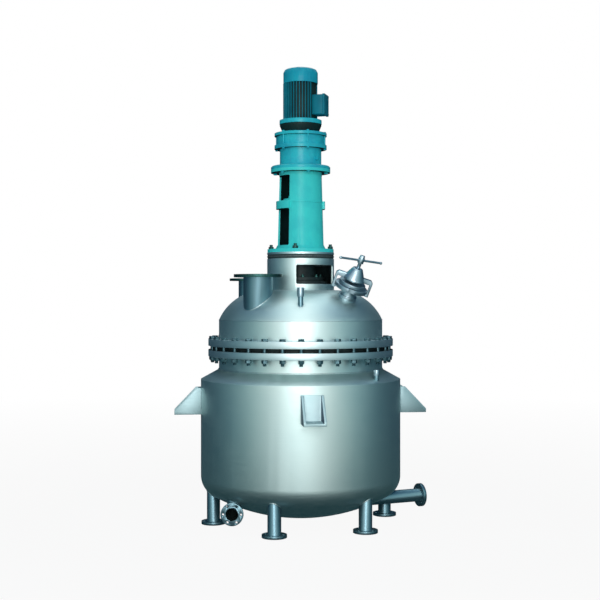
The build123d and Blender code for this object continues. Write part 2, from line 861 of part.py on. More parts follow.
def make_agitator():
    """Shaft, bolted coupling and anchor impeller."""
    save("agitator_shaft", post(shaft_radius, shaft_bottom, coupling_middle))

    lower = ring(shaft_radius, coupling_hub_radius, coupling_low, coupling_middle - coupling_flange_height)
    lower += ring(shaft_radius, coupling_radius, coupling_middle - coupling_flange_height, coupling_middle)
    upper = ring(output_shaft_radius, coupling_hub_radius, coupling_middle + coupling_flange_height, coupling_top)
    upper += ring(output_shaft_radius, coupling_radius, coupling_middle, coupling_middle + coupling_flange_height)
    pins = [place * post(coupling_bolt_radius, coupling_middle - coupling_flange_height,
                         coupling_middle + coupling_flange_height)
            for place in around(coupling_bolt_count, coupling_bolt_circle)]
    for pin in pins:
        lower -= pin
        upper -= pin
    save("shaft_coupling", lower, upper, *pins)

    gap = vessel_wall + anchor_clearance
    shrink = gap + anchor_blade
    outer = Plane.XZ * make_face(
        dished(vessel_radius, vessel_crown, vessel_knuckle, vessel_seam_height, anchor_top, gap)
    )
    inner = Plane.XZ * make_face(
        dished(vessel_radius - shrink, vessel_crown - shrink, anchor_inner_knuckle,
               vessel_seam_height + anchor_inner_rise, anchor_top + 1)
    )
    half = extrude(outer, anchor_thickness / 2, both=True) - extrude(inner, anchor_thickness, both=True)
    reach = vessel_bore_radius - anchor_clearance - anchor_blade / 2
    arm = Pos(reach / 2, 0, 0) * block(
        reach, anchor_thickness, anchor_arm_height, anchor_arm_height + anchor_arm_depth
    )
    blade = half + arm
    blade += mirror(blade, Plane.YZ)
    hub = post(anchor_hub_radius, shaft_bottom, anchor_hub_height + anchor_hub_half)
    hub += post(anchor_hub_radius, anchor_arm_height - 10, anchor_arm_height + anchor_arm_depth + 10)
    save("anchor_impeller", blade + hub - post(shaft_radius, shaft_bottom, anchor_top))


def cycloid_disc():
    """Lobed disc with its bearing bore and carrier holes, centred on its own axis."""
    roller = ring_pin_radius + tooth_clearance
    lobes = ring_pin_count - 1
    points = []
    steps = lobes * 8
    for step in range(steps):
        turn = 2 * pi * step / steps
        lean = atan2(
            sin((1 - ring_pin_count) * turn),
            ring_pin_circle / (eccentricity * ring_pin_count) - cos((1 - ring_pin_count) * turn),
        )
        x = (ring_pin_circle * cos(turn) - roller * cos(turn + lean)
             - eccentricity * cos(ring_pin_count * turn))
        y = (-ring_pin_circle * sin(turn) + roller * sin(turn + lean)
             + eccentricity * sin(ring_pin_count * turn))
        points.append((x, y))
    disc = extrude(make_face(Spline(*points, periodic=True)), cycloid_thickness)
    disc -= post(cycloid_bore_radius, -1, cycloid_thickness + 1)
    hole = carrier_pin_radius + eccentricity + running_gap * 4
    for place in around(carrier_pin_count, carrier_pin_circle):
        disc -= place * post(hole, -1, cycloid_thickness + 1)
    return disc


def make_reducer():
    """Cycloidal reducer: housing, pin ring, lobed discs, carrier and cover."""
    bore = output_bearing_radius
    base = lathe(
        (bore, frame_top),
        (reducer_flange_radius, frame_top),
        (reducer_flange_radius, reducer_flange_top - reducer_flange_chamfer),
        (reducer_flange_radius - reducer_flange_chamfer, reducer_flange_top),
        (reducer_neck_radius, reducer_flange_top),
        (reducer_neck_radius, reducer_neck_top),
        (reducer_disc_radius, reducer_neck_top),
        (reducer_disc_radius, reducer_disc_top),
        (reducer_bore_radius, reducer_disc_top),
        (reducer_bore_radius, reducer_bore_low),
        (bore, reducer_bore_low),
    )
    for place in around(head_bolt_count, head_bolt_circle, reducer_bolt_azimuth):
        base -= place * post(head_bolt_radius, frame_top - 1, reducer_flange_top - reducer_flange_chamfer)
    plug_place = at(oil_plug_azimuth, reducer_neck_radius - 14, oil_plug_height) * Rot(90, 0, 0)
    base -= plug_place * post(oil_plug_radius, 0, 30)
    bolts = around(reducer_bolt_count, reducer_bolt_circle, reducer_bolt_azimuth)
    shank_low = reducer_neck_top
    for place in bolts:
        base -= place * post(reducer_bolt_radius, shank_low - 1, reducer_disc_top + 1)
    plug = plug_place * (post(oil_plug_radius, 0, 14) + hexagon(1.9 * oil_plug_radius, 15, 24)
                         + post(oil_plug_radius, 14, 15))
    save("reducer_base", base, plug)
    save("reducer_bearings", ring(output_shaft_radius + running_gap, bore, frame_top + 4, reducer_bore_low - 4))

    pins = [place * post(ring_pin_radius, reducer_disc_top, pin_ring_top)
            for place in around(ring_pin_count, ring_pin_circle, 90)]
    pin_ring = ring(pin_ring_bore, pin_ring_radius, reducer_disc_top, pin_ring_top)
    for pin in pins:
        pin_ring -= pin
    save("pin_gear_ring", pin_ring)
    save("ring_pins", *pins)

    shaft_bore = motor_shaft_radius + running_gap
    inner = cover_neck_radius - cover_neck_wall
    cover = lathe(
        (shaft_bore, pin_ring_top),
        (reducer_disc_radius, pin_ring_top),
        (reducer_disc_radius, cover_plate_top),
        (cover_neck_radius, cover_plate_top),
        (cover_flange_radius, cover_neck_top - cover_flange_thickness),
        (cover_flange_radius, cover_neck_top),
        (inner, cover_neck_top),
        (inner, cover_plate_top),
        (shaft_bore, cover_plate_top),
    )
    for place in bolts:
        cover -= place * post(reducer_bolt_radius, pin_ring_top - 1, cover_plate_top + 1)
    save("reducer_cover", cover)
    bolt = hexagon(reducer_bolt_across, cover_plate_top, cover_plate_top + reducer_bolt_head)
    bolt += post(reducer_bolt_radius, shank_low, cover_plate_top)
    bolt += hexagon(reducer_bolt_across, shank_low - reducer_bolt_head, shank_low)
    save("reducer_bolts", *[place * bolt for place in bolts])

    carrier_low = reducer_disc_top - carrier_gap - carrier_thickness
    carrier = post(output_shaft_radius, coupling_middle, carrier_low)
    carrier += post(carrier_radius, carrier_low, reducer_disc_top - carrier_gap)
    for place in around(carrier_pin_count, carrier_pin_circle):
        carrier += place * post(carrier_pin_radius, reducer_disc_top - carrier_gap, pin_ring_top - carrier_gap)
    save("output_carrier", carrier)

    low = reducer_disc_top + cycloid_margin
    high = pin_ring_top - cycloid_margin - cycloid_thickness
    save("cycloid_disc_a", Pos(eccentricity, 0, low) * cycloid_disc())
    save("cycloid_disc_b", Rot(0, 0, 180) * Pos(eccentricity, 0, high) * cycloid_disc())


def make_motor_rotor():
    """Motor shaft with its eccentric cams, rotor core and fan."""
    low = reducer_disc_top + cycloid_margin
    high = pin_ring_top - cycloid_margin - cycloid_thickness
    cam = cycloid_bore_radius - running_gap
    shaft = post(motor_shaft_radius, low, cowl_top - fan_margin - fan_height / 2)
    shaft += Pos(eccentricity, 0, 0) * post(cam, low, low + cycloid_thickness)
    shaft += Pos(-eccentricity, 0, 0) * post(cam, high, high + cycloid_thickness)
    shaft += post(rotor_radius, motor_flange_top + rotor_margin, motor_frame_top - motor_end_wall - rotor_margin)
    save("motor_rotor", shaft)

    fan_low = motor_frame_top + fan_margin
    fan = ring(motor_shaft_radius, fan_hub_radius, fan_low, fan_low + fan_height)
    reach = fan_radius - fan_hub_radius + 2
    blade = Pos(0, -(fan_hub_radius + fan_radius) / 2 + 1, 0) * block(
        fan_blade_thickness, reach, fan_low, fan_low + fan_height
    )
    for place in around(fan_blades, 0):
        fan += place * blade
    save("cooling_fan", fan)


def make_motor():
    """Flange, finned frame, terminal box and fan cowl."""
    shaft_bore = motor_shaft_radius + running_gap
    flange = ring(shaft_bore, motor_flange_radius, cover_neck_top, motor_flange_top)
    save("motor_flange", flange)

    section = Circle(motor_core_radius)
    fin_depth = motor_fin_radius - motor_core_radius + 2
    fin = Pos(0, -(motor_fin_radius - fin_depth / 2)) * Rectangle(motor_fin_width, fin_depth)
    box_half = degrees(asin((box_width / 2 + motor_fin_width) / motor_fin_radius))
    for i in range(motor_fin_count):
        azimuth = 360 * i / motor_fin_count
        if abs((azimuth - box_azimuth + 180) % 360 - 180) > box_half:
            section += Rot(0, 0, azimuth) * fin
    frame = Pos(0, 0, motor_flange_top) * extrude(section, motor_frame_top - motor_flange_top)
    frame -= post(motor_frame_bore, motor_flange_top - 1, motor_frame_top - motor_end_wall)
    frame -= post(shaft_bore, motor_flange_top, motor_frame_top + 1)
    save("motor_frame", frame)

    lid_low = box_reach - box_lid_thickness
    box = Pos(0, -(lid_low + motor_frame_bore) / 2, 0) * block(box_width, lid_low - motor_frame_bore, box_low, box_high)
    box = fillet(box.edges().filter_by(Axis.Y), box_corner)
    box -= post(motor_core_radius, box_low - 1, box_high + 1)
    lid = Pos(0, -(lid_low + box_reach) / 2, 0) * block(
        box_width + 2 * box_lid_overhang, box_lid_thickness, box_low - box_lid_overhang, box_high + box_lid_overhang
    )
    lid = fillet(lid.edges().filter_by(Axis.Y), box_corner)
    save("terminal_box", at(box_azimuth) * box, at(box_azimuth) * lid)

    cowl = lathe(
        (cowl_radius - cowl_wall, motor_frame_top),
        (cowl_radius, motor_frame_top),
        (cowl_radius, cowl_top - cowl_crown),
        (cowl_radius - cowl_crown * 0.35, cowl_top - cowl_crown * 0.3),
        (cowl_radius - cowl_crown, cowl_top),
        (0, cowl_top),
        (0, cowl_top - cowl_wall),
        (cowl_radius - cowl_crown, cowl_top - cowl_wall),
        (cowl_radius - cowl_crown * 0.35 - cowl_wall * 0.8, cowl_top - cowl_crown * 0.3 - cowl_wall * 0.6),
        (cowl_radius - cowl_wall, cowl_top - cowl_crown - cowl_wall * 0.5),
    )
    slot = Pos(0, -(grille_inner + grille_outer) / 2, 0) * block(
        grille_slot_width, grille_outer - grille_inner, cowl_top - 2 * cowl_wall, cowl_top + 1
    )
    for place in around(grille_slots, 0):
        cowl -= place * slot
    save("fan_cowl", cowl)


def make_handhole():
    """Tilted quick-opening handhole: nozzle, gasket, cover, claw bridge and screw."""
    place = handhole_place()
    bore = handhole_pipe_radius - handhole_pipe_wall
    collar = ring(bore, handhole_collar_radius, -handhole_collar_radius, handhole_collar_height)
    collar += ring(bore, handhole_pipe_radius, handhole_collar_height, handhole_flange_low)
    nozzle = above_dome(place * collar)
    flange = ring(bore, handhole_flange_radius, handhole_flange_low, handhole_flange_top)
    notch = claw_width + 2 * claw_notch_gap
    for turn in around(claw_count, handhole_flange_radius, claw_azimuth + 180 / claw_count):
        flange -= turn * block(notch, 2 * (claw_hook + claw_notch_gap), handhole_flange_low - 1,
                               handhole_flange_top + 1)
    save("handhole_nozzle", nozzle + place * flange)
    save("handhole_gasket", place * ring(bore, handhole_gasket_radius, handhole_flange_top, handhole_cover_low))

    boss_top = handhole_cover_top + handhole_boss_height
    cover = post(handhole_cover_radius - claw_hook, handhole_cover_low, handhole_cover_top)
    cover += post(handhole_boss_radius, handhole_cover_top, boss_top)
    cover -= post(screw_tip_radius + running_gap, handhole_cover_top, boss_top + 1)
    save("handhole_cover", place * cover)

    foot = handhole_cover_top + cover_lift + bridge_lift_gap
    leg_inner = handhole_flange_radius + claw_gap
    leg_outer = leg_inner + claw_leg
    hook_top = handhole_flange_low - claw_under_gap
    arm_top = foot + bridge_arm_height
    side = Plane.YZ * make_face(
        Polyline(
            (-bridge_bell_head_radius, foot),
            (-leg_inner, foot),
            (-leg_inner, hook_top),
            (-leg_inner + claw_hook, hook_top),
            (-leg_inner + claw_hook, hook_top - claw_hook_height),
            (-leg_outer, hook_top - claw_hook_height),
            (-leg_outer, arm_top - bridge_arm_height / 2),
            (-leg_inner, arm_top),
            (-bridge_bell_head_radius, arm_top),
            close=True,
        )
    )
    arm = Pos(-claw_width / 2, 0, 0) * extrude(side, claw_width)
    roof = bridge_bell_top - bridge_bell_roof
    bell_inner = bridge_bell_foot_radius - bridge_bell_wall
    roof_inner = bridge_bell_head_radius - bridge_bell_wall / 2
    bridge = lathe(
        (0, foot),
        (bridge_bell_foot_radius, foot),
        (bridge_bell_foot_radius, foot + bridge_bell_edge),
        (bridge_bell_head_radius, bridge_bell_top),
        (0, bridge_bell_top),
    )
    for turn in around(claw_count, 0, claw_azimuth):
        bridge += turn * arm
    bridge -= lathe((0, foot - 1), (bell_inner, foot - 1), (bell_inner, foot), (roof_inner, roof), (0, roof))
    bridge -= post(screw_radius + running_gap, foot, bridge_bell_top + 1)
    save("handhole_bridge", place * bridge)

    hub_low = screw_hub_height - screw_hub_half
    hub_high = screw_hub_height + screw_hub_half
    screw = post(screw_tip_radius, handhole_cover_top, boss_top)
    screw += post(screw_radius, boss_top, hub_low)
    screw += post(screw_hub_radius, hub_low, hub_high)
    screw += hexagon(screw_nut_across, hub_high, hub_high + screw_nut_height)
    across = at(bar_azimuth, 0, screw_hub_height) * Rot(90, 0, 0)
    bar = across * post(bar_radius, -bar_length / 2, bar_length / 2)
    for end in (-1, 1):
        bar += across * Pos(0, 0, end * bar_length / 2) * Sphere(bar_knob_radius)
    screw -= bar
    save("handhole_screw", place * screw, place * bar)


os.makedirs("parts", exist_ok=True)
make_vessel()
make_main_flanges()
make_lid()
make_dome_nozzles()
make_jacket_filler()
make_lugs()
make_legs()
make_side_nozzle()
make_outlet()
make_neck()
make_drive_frame()
make_seal()
make_agitator()
make_reducer()
make_motor_rotor()
make_motor()
make_handhole()
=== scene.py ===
# %% [markdown]
# A reaction kettle in Blender
# The kettle is a jacketed steel vessel with a bolted lid, a neck, a painted drive frame, a
# geared motor and a small quick-opening handhole. Its measured parts are loaded first and
# stay where they are. This lesson gives them their finish, and adds what a plain measured
# part lacks: weld beads, washers, chamfered hexagons, screws and rounded castings.

# %% Load the measured parts
import json
from math import atan2, cos, pi, radians, sin, sqrt

import bpy
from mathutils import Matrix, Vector

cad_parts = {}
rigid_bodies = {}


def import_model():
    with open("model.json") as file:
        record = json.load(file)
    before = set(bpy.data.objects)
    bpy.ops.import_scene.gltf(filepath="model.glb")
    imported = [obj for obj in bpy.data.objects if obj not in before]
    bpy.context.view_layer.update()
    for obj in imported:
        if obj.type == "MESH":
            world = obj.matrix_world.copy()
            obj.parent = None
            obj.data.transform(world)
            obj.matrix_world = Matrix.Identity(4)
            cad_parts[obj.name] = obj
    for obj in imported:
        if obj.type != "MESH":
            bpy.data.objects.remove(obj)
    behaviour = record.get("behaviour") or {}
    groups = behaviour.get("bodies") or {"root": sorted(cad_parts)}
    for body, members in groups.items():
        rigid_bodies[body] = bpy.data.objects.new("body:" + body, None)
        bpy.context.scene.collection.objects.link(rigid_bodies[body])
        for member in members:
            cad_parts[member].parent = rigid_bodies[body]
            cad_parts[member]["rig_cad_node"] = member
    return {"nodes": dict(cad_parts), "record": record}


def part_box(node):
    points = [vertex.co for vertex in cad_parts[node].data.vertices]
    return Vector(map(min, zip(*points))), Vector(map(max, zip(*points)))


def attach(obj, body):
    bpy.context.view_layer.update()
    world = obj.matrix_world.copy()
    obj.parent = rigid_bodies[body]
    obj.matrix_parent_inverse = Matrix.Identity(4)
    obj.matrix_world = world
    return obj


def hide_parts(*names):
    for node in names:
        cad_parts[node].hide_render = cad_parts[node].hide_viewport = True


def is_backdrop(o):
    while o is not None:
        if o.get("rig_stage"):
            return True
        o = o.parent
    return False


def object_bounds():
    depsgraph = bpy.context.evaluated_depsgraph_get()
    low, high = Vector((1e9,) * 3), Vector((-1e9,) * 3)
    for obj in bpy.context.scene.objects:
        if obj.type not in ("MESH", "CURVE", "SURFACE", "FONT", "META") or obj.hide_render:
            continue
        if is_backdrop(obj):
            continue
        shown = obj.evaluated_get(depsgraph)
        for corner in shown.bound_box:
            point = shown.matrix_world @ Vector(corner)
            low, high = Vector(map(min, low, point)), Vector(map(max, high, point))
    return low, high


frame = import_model()
measured_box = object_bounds()

# %% [markdown]
# The camera comes first, because every later choice is judged through it. The photograph was
# taken from far away with a long lens, level with the middle of the kettle, and a little to
# the left of the front lug. Distances are in metres and follow from how the flange ellipses
# open above and below the lens's own height.

# %% Camera at the photograph's angle
camera_distance = 6.216
camera_height = 1.243
camera_azimuth = radians(-6)
lens_length = 66.6
picture_shift = (-0.001, -0.005)

camera_data = bpy.data.cameras.new("camera")
camera = bpy.data.objects.new("camera", camera_data)
bpy.context.scene.collection.objects.link(camera)
camera.location = (
    camera_distance * sin(camera_azimuth),
    -camera_distance * cos(camera_azimuth),
    camera_height,
)
camera.rotation_euler = (pi / 2, 0, camera_azimuth)
camera_data.lens = lens_length
camera_data.shift_x, camera_data.shift_y = picture_shift
bpy.context.scene.camera = camera
print("camera at", [round(v, 3) for v in camera.location])

# %% [markdown]
# Materials, the world and the stage are all node trees. Three small helpers build the nodes
# that come up again and again: a Math node, a value stretched to a new range, and a colour
# ramp. Writing them once keeps every recipe below short enough to read.

# %% Helpers for node trees
def computed(tree, operation, first, second):
    """Result of a Math node; the second value is a link or a number."""
    node = tree.nodes.new("ShaderNodeMath")
    node.operation = operation
    tree.links.new(first, node.inputs[0])
    if isinstance(second, (int, float)):
        node.inputs[1].default_value = second
    else:
        tree.links.new(second, node.inputs[1])
    return node.outputs[0]


def stretched(tree, value, from_low, from_high, to_low=0.0, to_high=1.0):
    """Value stretched from one range to another and held inside it."""
    node = tree.nodes.new("ShaderNodeMapRange")
    node.inputs["From Min"].default_value = from_low
    node.inputs["From Max"].default_value = from_high
    node.inputs["To Min"].default_value = to_low
    node.inputs["To Max"].default_value = to_high
    tree.links.new(value, node.inputs["Value"])
    return node.outputs["Result"]


def shaded(tree, value, stops):
    """Colour that follows a value through a row of places and colours."""
    ramp = tree.nodes.new("ShaderNodeValToRGB")
    elements = ramp.color_ramp.elements
    elements[0].position = stops[0][0]
    elements[0].color = (*stops[0][1], 1)
    elements[1].position = stops[-1][0]
    elements[1].color = (*stops[-1][1], 1)
    for place, colour in stops[1:-1]:
        elements.new(place).color = (*colour, 1)
    tree.links.new(value, ramp.inputs["Fac"])
    return ramp.outputs["Color"]


# %% [markdown]
# The world is what a ray meets when it misses everything. It could be one white background,
# but that would light the sides of the kettle as brightly as its front. So it does two jobs.
# The camera, reflections and glass see the plain white backdrop of the photograph, and
# everything else gets a weak, slightly blue light, which keeps shaded sides from going black.

# %% World
scene = bpy.context.scene
scene.view_settings.view_transform = "Standard"
world = bpy.data.worlds.new("studio")
scene.world = world
world.use_nodes = True
world_tree = world.node_tree
world_tree.nodes.clear()
fill_colour = (0.80, 0.93, 1.0, 1)
fill_strength = 0.26

fill_light = world_tree.nodes.new("ShaderNodeBackground")
fill_light.inputs["Color"].default_value = fill_colour
fill_light.inputs["Strength"].default_value = fill_strength
backdrop = world_tree.nodes.new("ShaderNodeBackground")
backdrop.inputs["Color"].default_value = (1, 1, 1, 1)
backdrop.inputs["Strength"].default_value = 1.0
world_rays = world_tree.nodes.new("ShaderNodeLightPath").outputs
seen = computed(world_tree, "MAXIMUM", world_rays["Is Camera Ray"], world_rays["Is Glossy Ray"])
seen = computed(world_tree, "MAXIMUM", seen, world_rays["Is Transmission Ray"])
world_mix = world_tree.nodes.new("ShaderNodeMixShader")
world_tree.links.new(seen, world_mix.inputs["Fac"])
world_tree.links.new(fill_light.outputs[0], world_mix.inputs[1])
world_tree.links.new(backdrop.outputs[0], world_mix.inputs[2])
world_out = world_tree.nodes.new("ShaderNodeOutputWorld")
world_tree.links.new(world_mix.outputs[0], world_out.inputs["Surface"])
print("fill light:", fill_strength)

# %% [markdown]
# A photographer lights steel with soft boxes, and area lamps are that here. Small lamps would
# draw hard spots. One broad box in front draws the long highlight down the middle of the
# shells. Two weaker ones are a little blue, as the kettle's sides are in the photograph.

# %% Lamps
def soft_box(name, azimuth, distance, height, size, power, colour=(1, 1, 1), aim=1.25):
    """Area lamp at an azimuth from the camera's own, aimed at a height on the axis."""
    data = bpy.data.lights.new(name, "AREA")
    data.shape = "RECTANGLE"
    data.size, data.size_y = size
    data.energy = power
    data.color = colour
    lamp = bpy.data.objects.new(name, data)
    scene.collection.objects.link(lamp)
    turn = camera_azimuth + radians(azimuth)
    lamp.location = (distance * sin(turn), -distance * cos(turn), height)
    towards_axis = Vector((0, 0, aim)) - lamp.location
    lamp.rotation_euler = towards_axis.to_track_quat("-Z", "Y").to_euler()


side_light = (0.55, 0.82, 1.0)
side_size = (1.0, 2.6)
soft_box("front_box", azimuth=1, distance=5.2, height=2.0, size=(2.1, 3.8), power=98)
for name, azimuth, power in (("left_box", -62, 12), ("right_box", 62, 10)):
    soft_box(name, azimuth, 4.2, 2.6, side_size, power, side_light)

# %% [markdown]
# Steel looks like what it mirrors, and a white studio alone would make it flat and pale. So a
# curved wall stands round the kettle that only reflections see. It is open towards the camera
# and gets darker towards the back. A round shell mirrors the open front in its middle and the
# dark back at its edges, which gives it the soft gradient of a product photograph. Black cards
# would do it too, but with hard edges. The wall is a mesh circle extruded upwards, without the
# faces in front.

# %% Wall that only reflections see
def reflection_card(piece, name):
    """Hide a stage piece from all but reflections; gives its node tree and its own axes."""
    piece.name = name
    piece.rotation_euler = (0, 0, camera_azimuth)
    piece.visible_camera = False
    piece.visible_diffuse = False
    piece.visible_shadow = False
    material = bpy.data.materials.new(name)
    material.use_nodes = True
    piece.data.materials.append(material)
    return material.node_tree, own_axes(material.node_tree)


def own_axes(tree):
    """X, Y and Z of a piece's own coordinates."""
    place = tree.nodes.new("ShaderNodeTexCoord")
    axes = tree.nodes.new("ShaderNodeSeparateXYZ")
    tree.links.new(place.outputs["Object"], axes.inputs[0])
    return axes.outputs


def glow(tree, colour, strength=1.0):
    """Emission of a colour that a node gives."""
    emission = tree.nodes.new("ShaderNodeEmission")
    emission.inputs["Strength"].default_value = strength
    tree.links.new(colour, emission.inputs["Color"])
    return emission.outputs[0]


wall_sides = 96
wall_radius = 2.8
wall_height = 3.6
wall_opening = radians(34)
wall_shades = [
    (0.09, (0.74, 0.92, 0.88)),
    (0.20, (0.26, 0.46, 0.48)),
    (0.34, (0.07, 0.18, 0.22)),
    (0.59, (0.016, 0.058, 0.092)),
    (1.0, (0.006, 0.026, 0.048)),
]
bpy.ops.object.select_all(action="DESELECT")
bpy.ops.mesh.primitive_circle_add(vertices=wall_sides, radius=wall_radius)
wall = bpy.context.object
bpy.ops.object.mode_set(mode="EDIT")
bpy.ops.mesh.select_all(action="SELECT")
bpy.ops.mesh.extrude_region_move(TRANSFORM_OT_translate={"value": (0, 0, wall_height)})
bpy.ops.object.mode_set(mode="OBJECT")
for polygon in wall.data.polygons:
    polygon.select = atan2(abs(polygon.center.x), -polygon.center.y) < wall_opening
bpy.ops.object.mode_set(mode="EDIT")
bpy.ops.mesh.select_mode(type="FACE")
bpy.ops.mesh.delete(type="FACE")
bpy.ops.object.mode_set(mode="OBJECT")

wall_tree, wall_axes = reflection_card(wall, "reflection_wall")
wall_depth = stretched(wall_tree, wall_axes["Y"], -wall_radius, wall_radius)
wall_glow = glow(wall_tree, shaded(wall_tree, wall_depth, wall_shades))
wall_tree.links.new(wall_glow, wall_tree.nodes["Material Output"].inputs["Surface"])
wall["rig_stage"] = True
print("wall faces:", len(wall.data.polygons))

# %% [markdown]
# A roof on the wall does the same for the dome and the cone, whose faces look up. It is a
# filled mesh circle with a bright strip from front to back, so that their middles are bright
# and their sides fall off.

# %% Roof that only reflections see
roof_strip = 0.3
roof_dark = 1.9
roof_strength = 1.9
roof_shades = [
    (0.0, (1.0, 1.0, 1.0)),
    (0.35, (0.45, 0.62, 0.68)),
    (0.7, (0.08, 0.18, 0.28)),
    (1.0, (0.018, 0.065, 0.13)),
]
bpy.ops.mesh.primitive_circle_add(
    vertices=wall_sides, radius=wall_radius, fill_type="NGON", location=(0, 0, wall_height)
)
roof = bpy.context.object
roof_tree, roof_axes = reflection_card(roof, "reflection_roof")
roof_side = computed(roof_tree, "ABSOLUTE", roof_axes["X"], 0)
roof_share = stretched(roof_tree, roof_side, roof_strip, roof_dark)
roof_glow = glow(roof_tree, shaded(roof_tree, roof_share, roof_shades), roof_strength)
roof_tree.links.new(roof_glow, roof_tree.nodes["Material Output"].inputs["Surface"])
roof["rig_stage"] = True
print("roof at", wall_height)

# %% [markdown]
# The floor has three looks. The camera sees it almost white, whiter with distance so that no
# horizon shows, with a share of the lit floor that keeps the kettle's shadow. Reflections see
# a bright field in front of the kettle and dark ground elsewhere, which shades the jacket and
# the bottom dish. All other light meets a plain grey floor. One plane can do all three,
# because its material asks what kind of ray has met it.

# %% Floor
floor_drop = 0.0005
floor_shade = (0.42, 0.44, 0.44, 1)
white_near, white_far = 0.93, 1.0
white_from, white_to = 1.5, 8.0
field_spread = 0.67
field_edge = 0.9
field_from, field_to = -0.9, -2.2
field_shades = [
    (0.0, (0.012, 0.045, 0.055)),
    (0.5, (0.16, 0.28, 0.30)),
    (1.0, (0.90, 0.98, 0.95)),
]

bpy.ops.mesh.primitive_plane_add(size=60, location=(0, 0, -floor_drop))
floor = bpy.context.object
floor.name = "floor"
floor.rotation_euler = (0, 0, camera_azimuth)
floor_finish = bpy.data.materials.new("floor")
floor_finish.use_nodes = True
floor_tree = floor_finish.node_tree
floor_surface = floor_tree.nodes["Principled BSDF"]
floor_surface.inputs["Base Color"].default_value = floor_shade
floor_surface.inputs["Roughness"].default_value = 0.9
floor_surface.inputs["Specular IOR Level"].default_value = 0.1
floor_white = floor_tree.nodes.new("ShaderNodeEmission")
floor_white.inputs["Color"].default_value = (1, 1, 1, 1)
floor_rays = floor_tree.nodes.new("ShaderNodeLightPath").outputs

floor_place = floor_tree.nodes.new("ShaderNodeTexCoord")
from_kettle = floor_tree.nodes.new("ShaderNodeVectorMath")
from_kettle.operation = "LENGTH"
floor_tree.links.new(floor_place.outputs["Object"], from_kettle.inputs[0])
distance = from_kettle.outputs["Value"]
white_share = stretched(floor_tree, distance, white_from, white_to, white_near, white_far)
white_share = computed(floor_tree, "MULTIPLY", floor_rays["Is Camera Ray"], white_share)
shown_mix = floor_tree.nodes.new("ShaderNodeMixShader")
floor_tree.links.new(white_share, shown_mix.inputs["Fac"])
floor_tree.links.new(floor_surface.outputs["BSDF"], shown_mix.inputs[1])
floor_tree.links.new(floor_white.outputs[0], shown_mix.inputs[2])

floor_axes = own_axes(floor_tree)
beside = computed(floor_tree, "ABSOLUTE", floor_axes["X"], 0)
ahead = computed(floor_tree, "MULTIPLY", floor_axes["Y"], -field_spread)
inside = computed(floor_tree, "SUBTRACT", ahead, beside)
in_field = stretched(floor_tree, inside, -field_edge, field_edge)
beyond = stretched(floor_tree, floor_axes["Y"], field_from, field_to)
field_share = computed(floor_tree, "MULTIPLY", in_field, beyond)
field_glow = glow(floor_tree, shaded(floor_tree, field_share, field_shades))
mirrored_mix = floor_tree.nodes.new("ShaderNodeMixShader")
floor_tree.links.new(floor_rays["Is Glossy Ray"], mirrored_mix.inputs["Fac"])
floor_tree.links.new(shown_mix.outputs[0], mirrored_mix.inputs[1])
floor_tree.links.new(field_glow, mirrored_mix.inputs[2])
floor_out = floor_tree.nodes["Material Output"]
floor_tree.links.new(mirrored_mix.outputs[0], floor_out.inputs["Surface"])
floor.data.materials.append(floor_finish)
floor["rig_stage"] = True
print("stage:", [o.name for o in (wall, roof, floor)])

# %% [markdown]
# Finishes are node materials. Each one starts from the same small helper, which makes a
# Principled surface, so that every finish below reads as a recipe: what the metal is, how its
# colour and gloss vary, and what fine relief it has.

# %% Helpers for finishes
def new_finish(name, colour, metallic, roughness):
    """Principled material with its even values set on the shader's own sockets."""
    material = bpy.data.materials.new(name)
    material.use_nodes = True
    surface = material.node_tree.nodes["Principled BSDF"]
    surface.inputs["Base Color"].default_value = (*colour, 1)
    surface.inputs["Metallic"].default_value = metallic
    surface.inputs["Roughness"].default_value = roughness
    return material, surface


def object_pattern(material, stretch=(1, 1, 1)):
    """Object coordinates, stretched along the axes."""
    nodes, links = material.node_tree.nodes, material.node_tree.links
    place = nodes.new("ShaderNodeTexCoord")
    mapping = nodes.new("ShaderNodeMapping")
    mapping.inputs["Scale"].default_value = stretch
    links.new(place.outputs["Object"], mapping.inputs["Vector"])
    return mapping.outputs["Vector"]


def noise(material, vector, scale, detail=4, roughness=0.6):
    """Noise value that reads a pattern's coordinates."""
    node = material.node_tree.nodes.new("ShaderNodeTexNoise")
    node.inputs["Scale"].default_value = scale
    node.inputs["Detail"].default_value = detail
    node.inputs["Roughness"].default_value = roughness
    material.node_tree.links.new(vector, node.inputs["Vector"])
    return node.outputs["Fac"]


def vary_colour(material, surface, value, first, second, low=0.35, high=0.65):
    """Let the colour run from first to second with a noise value."""
    colour = shaded(material.node_tree, value, [(low, first), (high, second)])
    material.node_tree.links.new(colour, surface.inputs["Base Color"])


def vary_gloss(material, surface, value, low, high):
    """Let the roughness run between two values with a noise value."""
    noise_low, noise_high = 0.3, 0.7
    roughness = stretched(material.node_tree, value, noise_low, noise_high, low, high)
    material.node_tree.links.new(roughness, surface.inputs["Roughness"])


def add_relief(material, surface, height, strength, distance=0.001):
    """Fine relief from a height value."""
    bump = material.node_tree.nodes.new("ShaderNodeBump")
    bump.inputs["Strength"].default_value = strength
    bump.inputs["Distance"].default_value = distance
    material.node_tree.links.new(height, bump.inputs["Height"])
    material.node_tree.links.new(bump.outputs["Normal"], surface.inputs["Normal"])
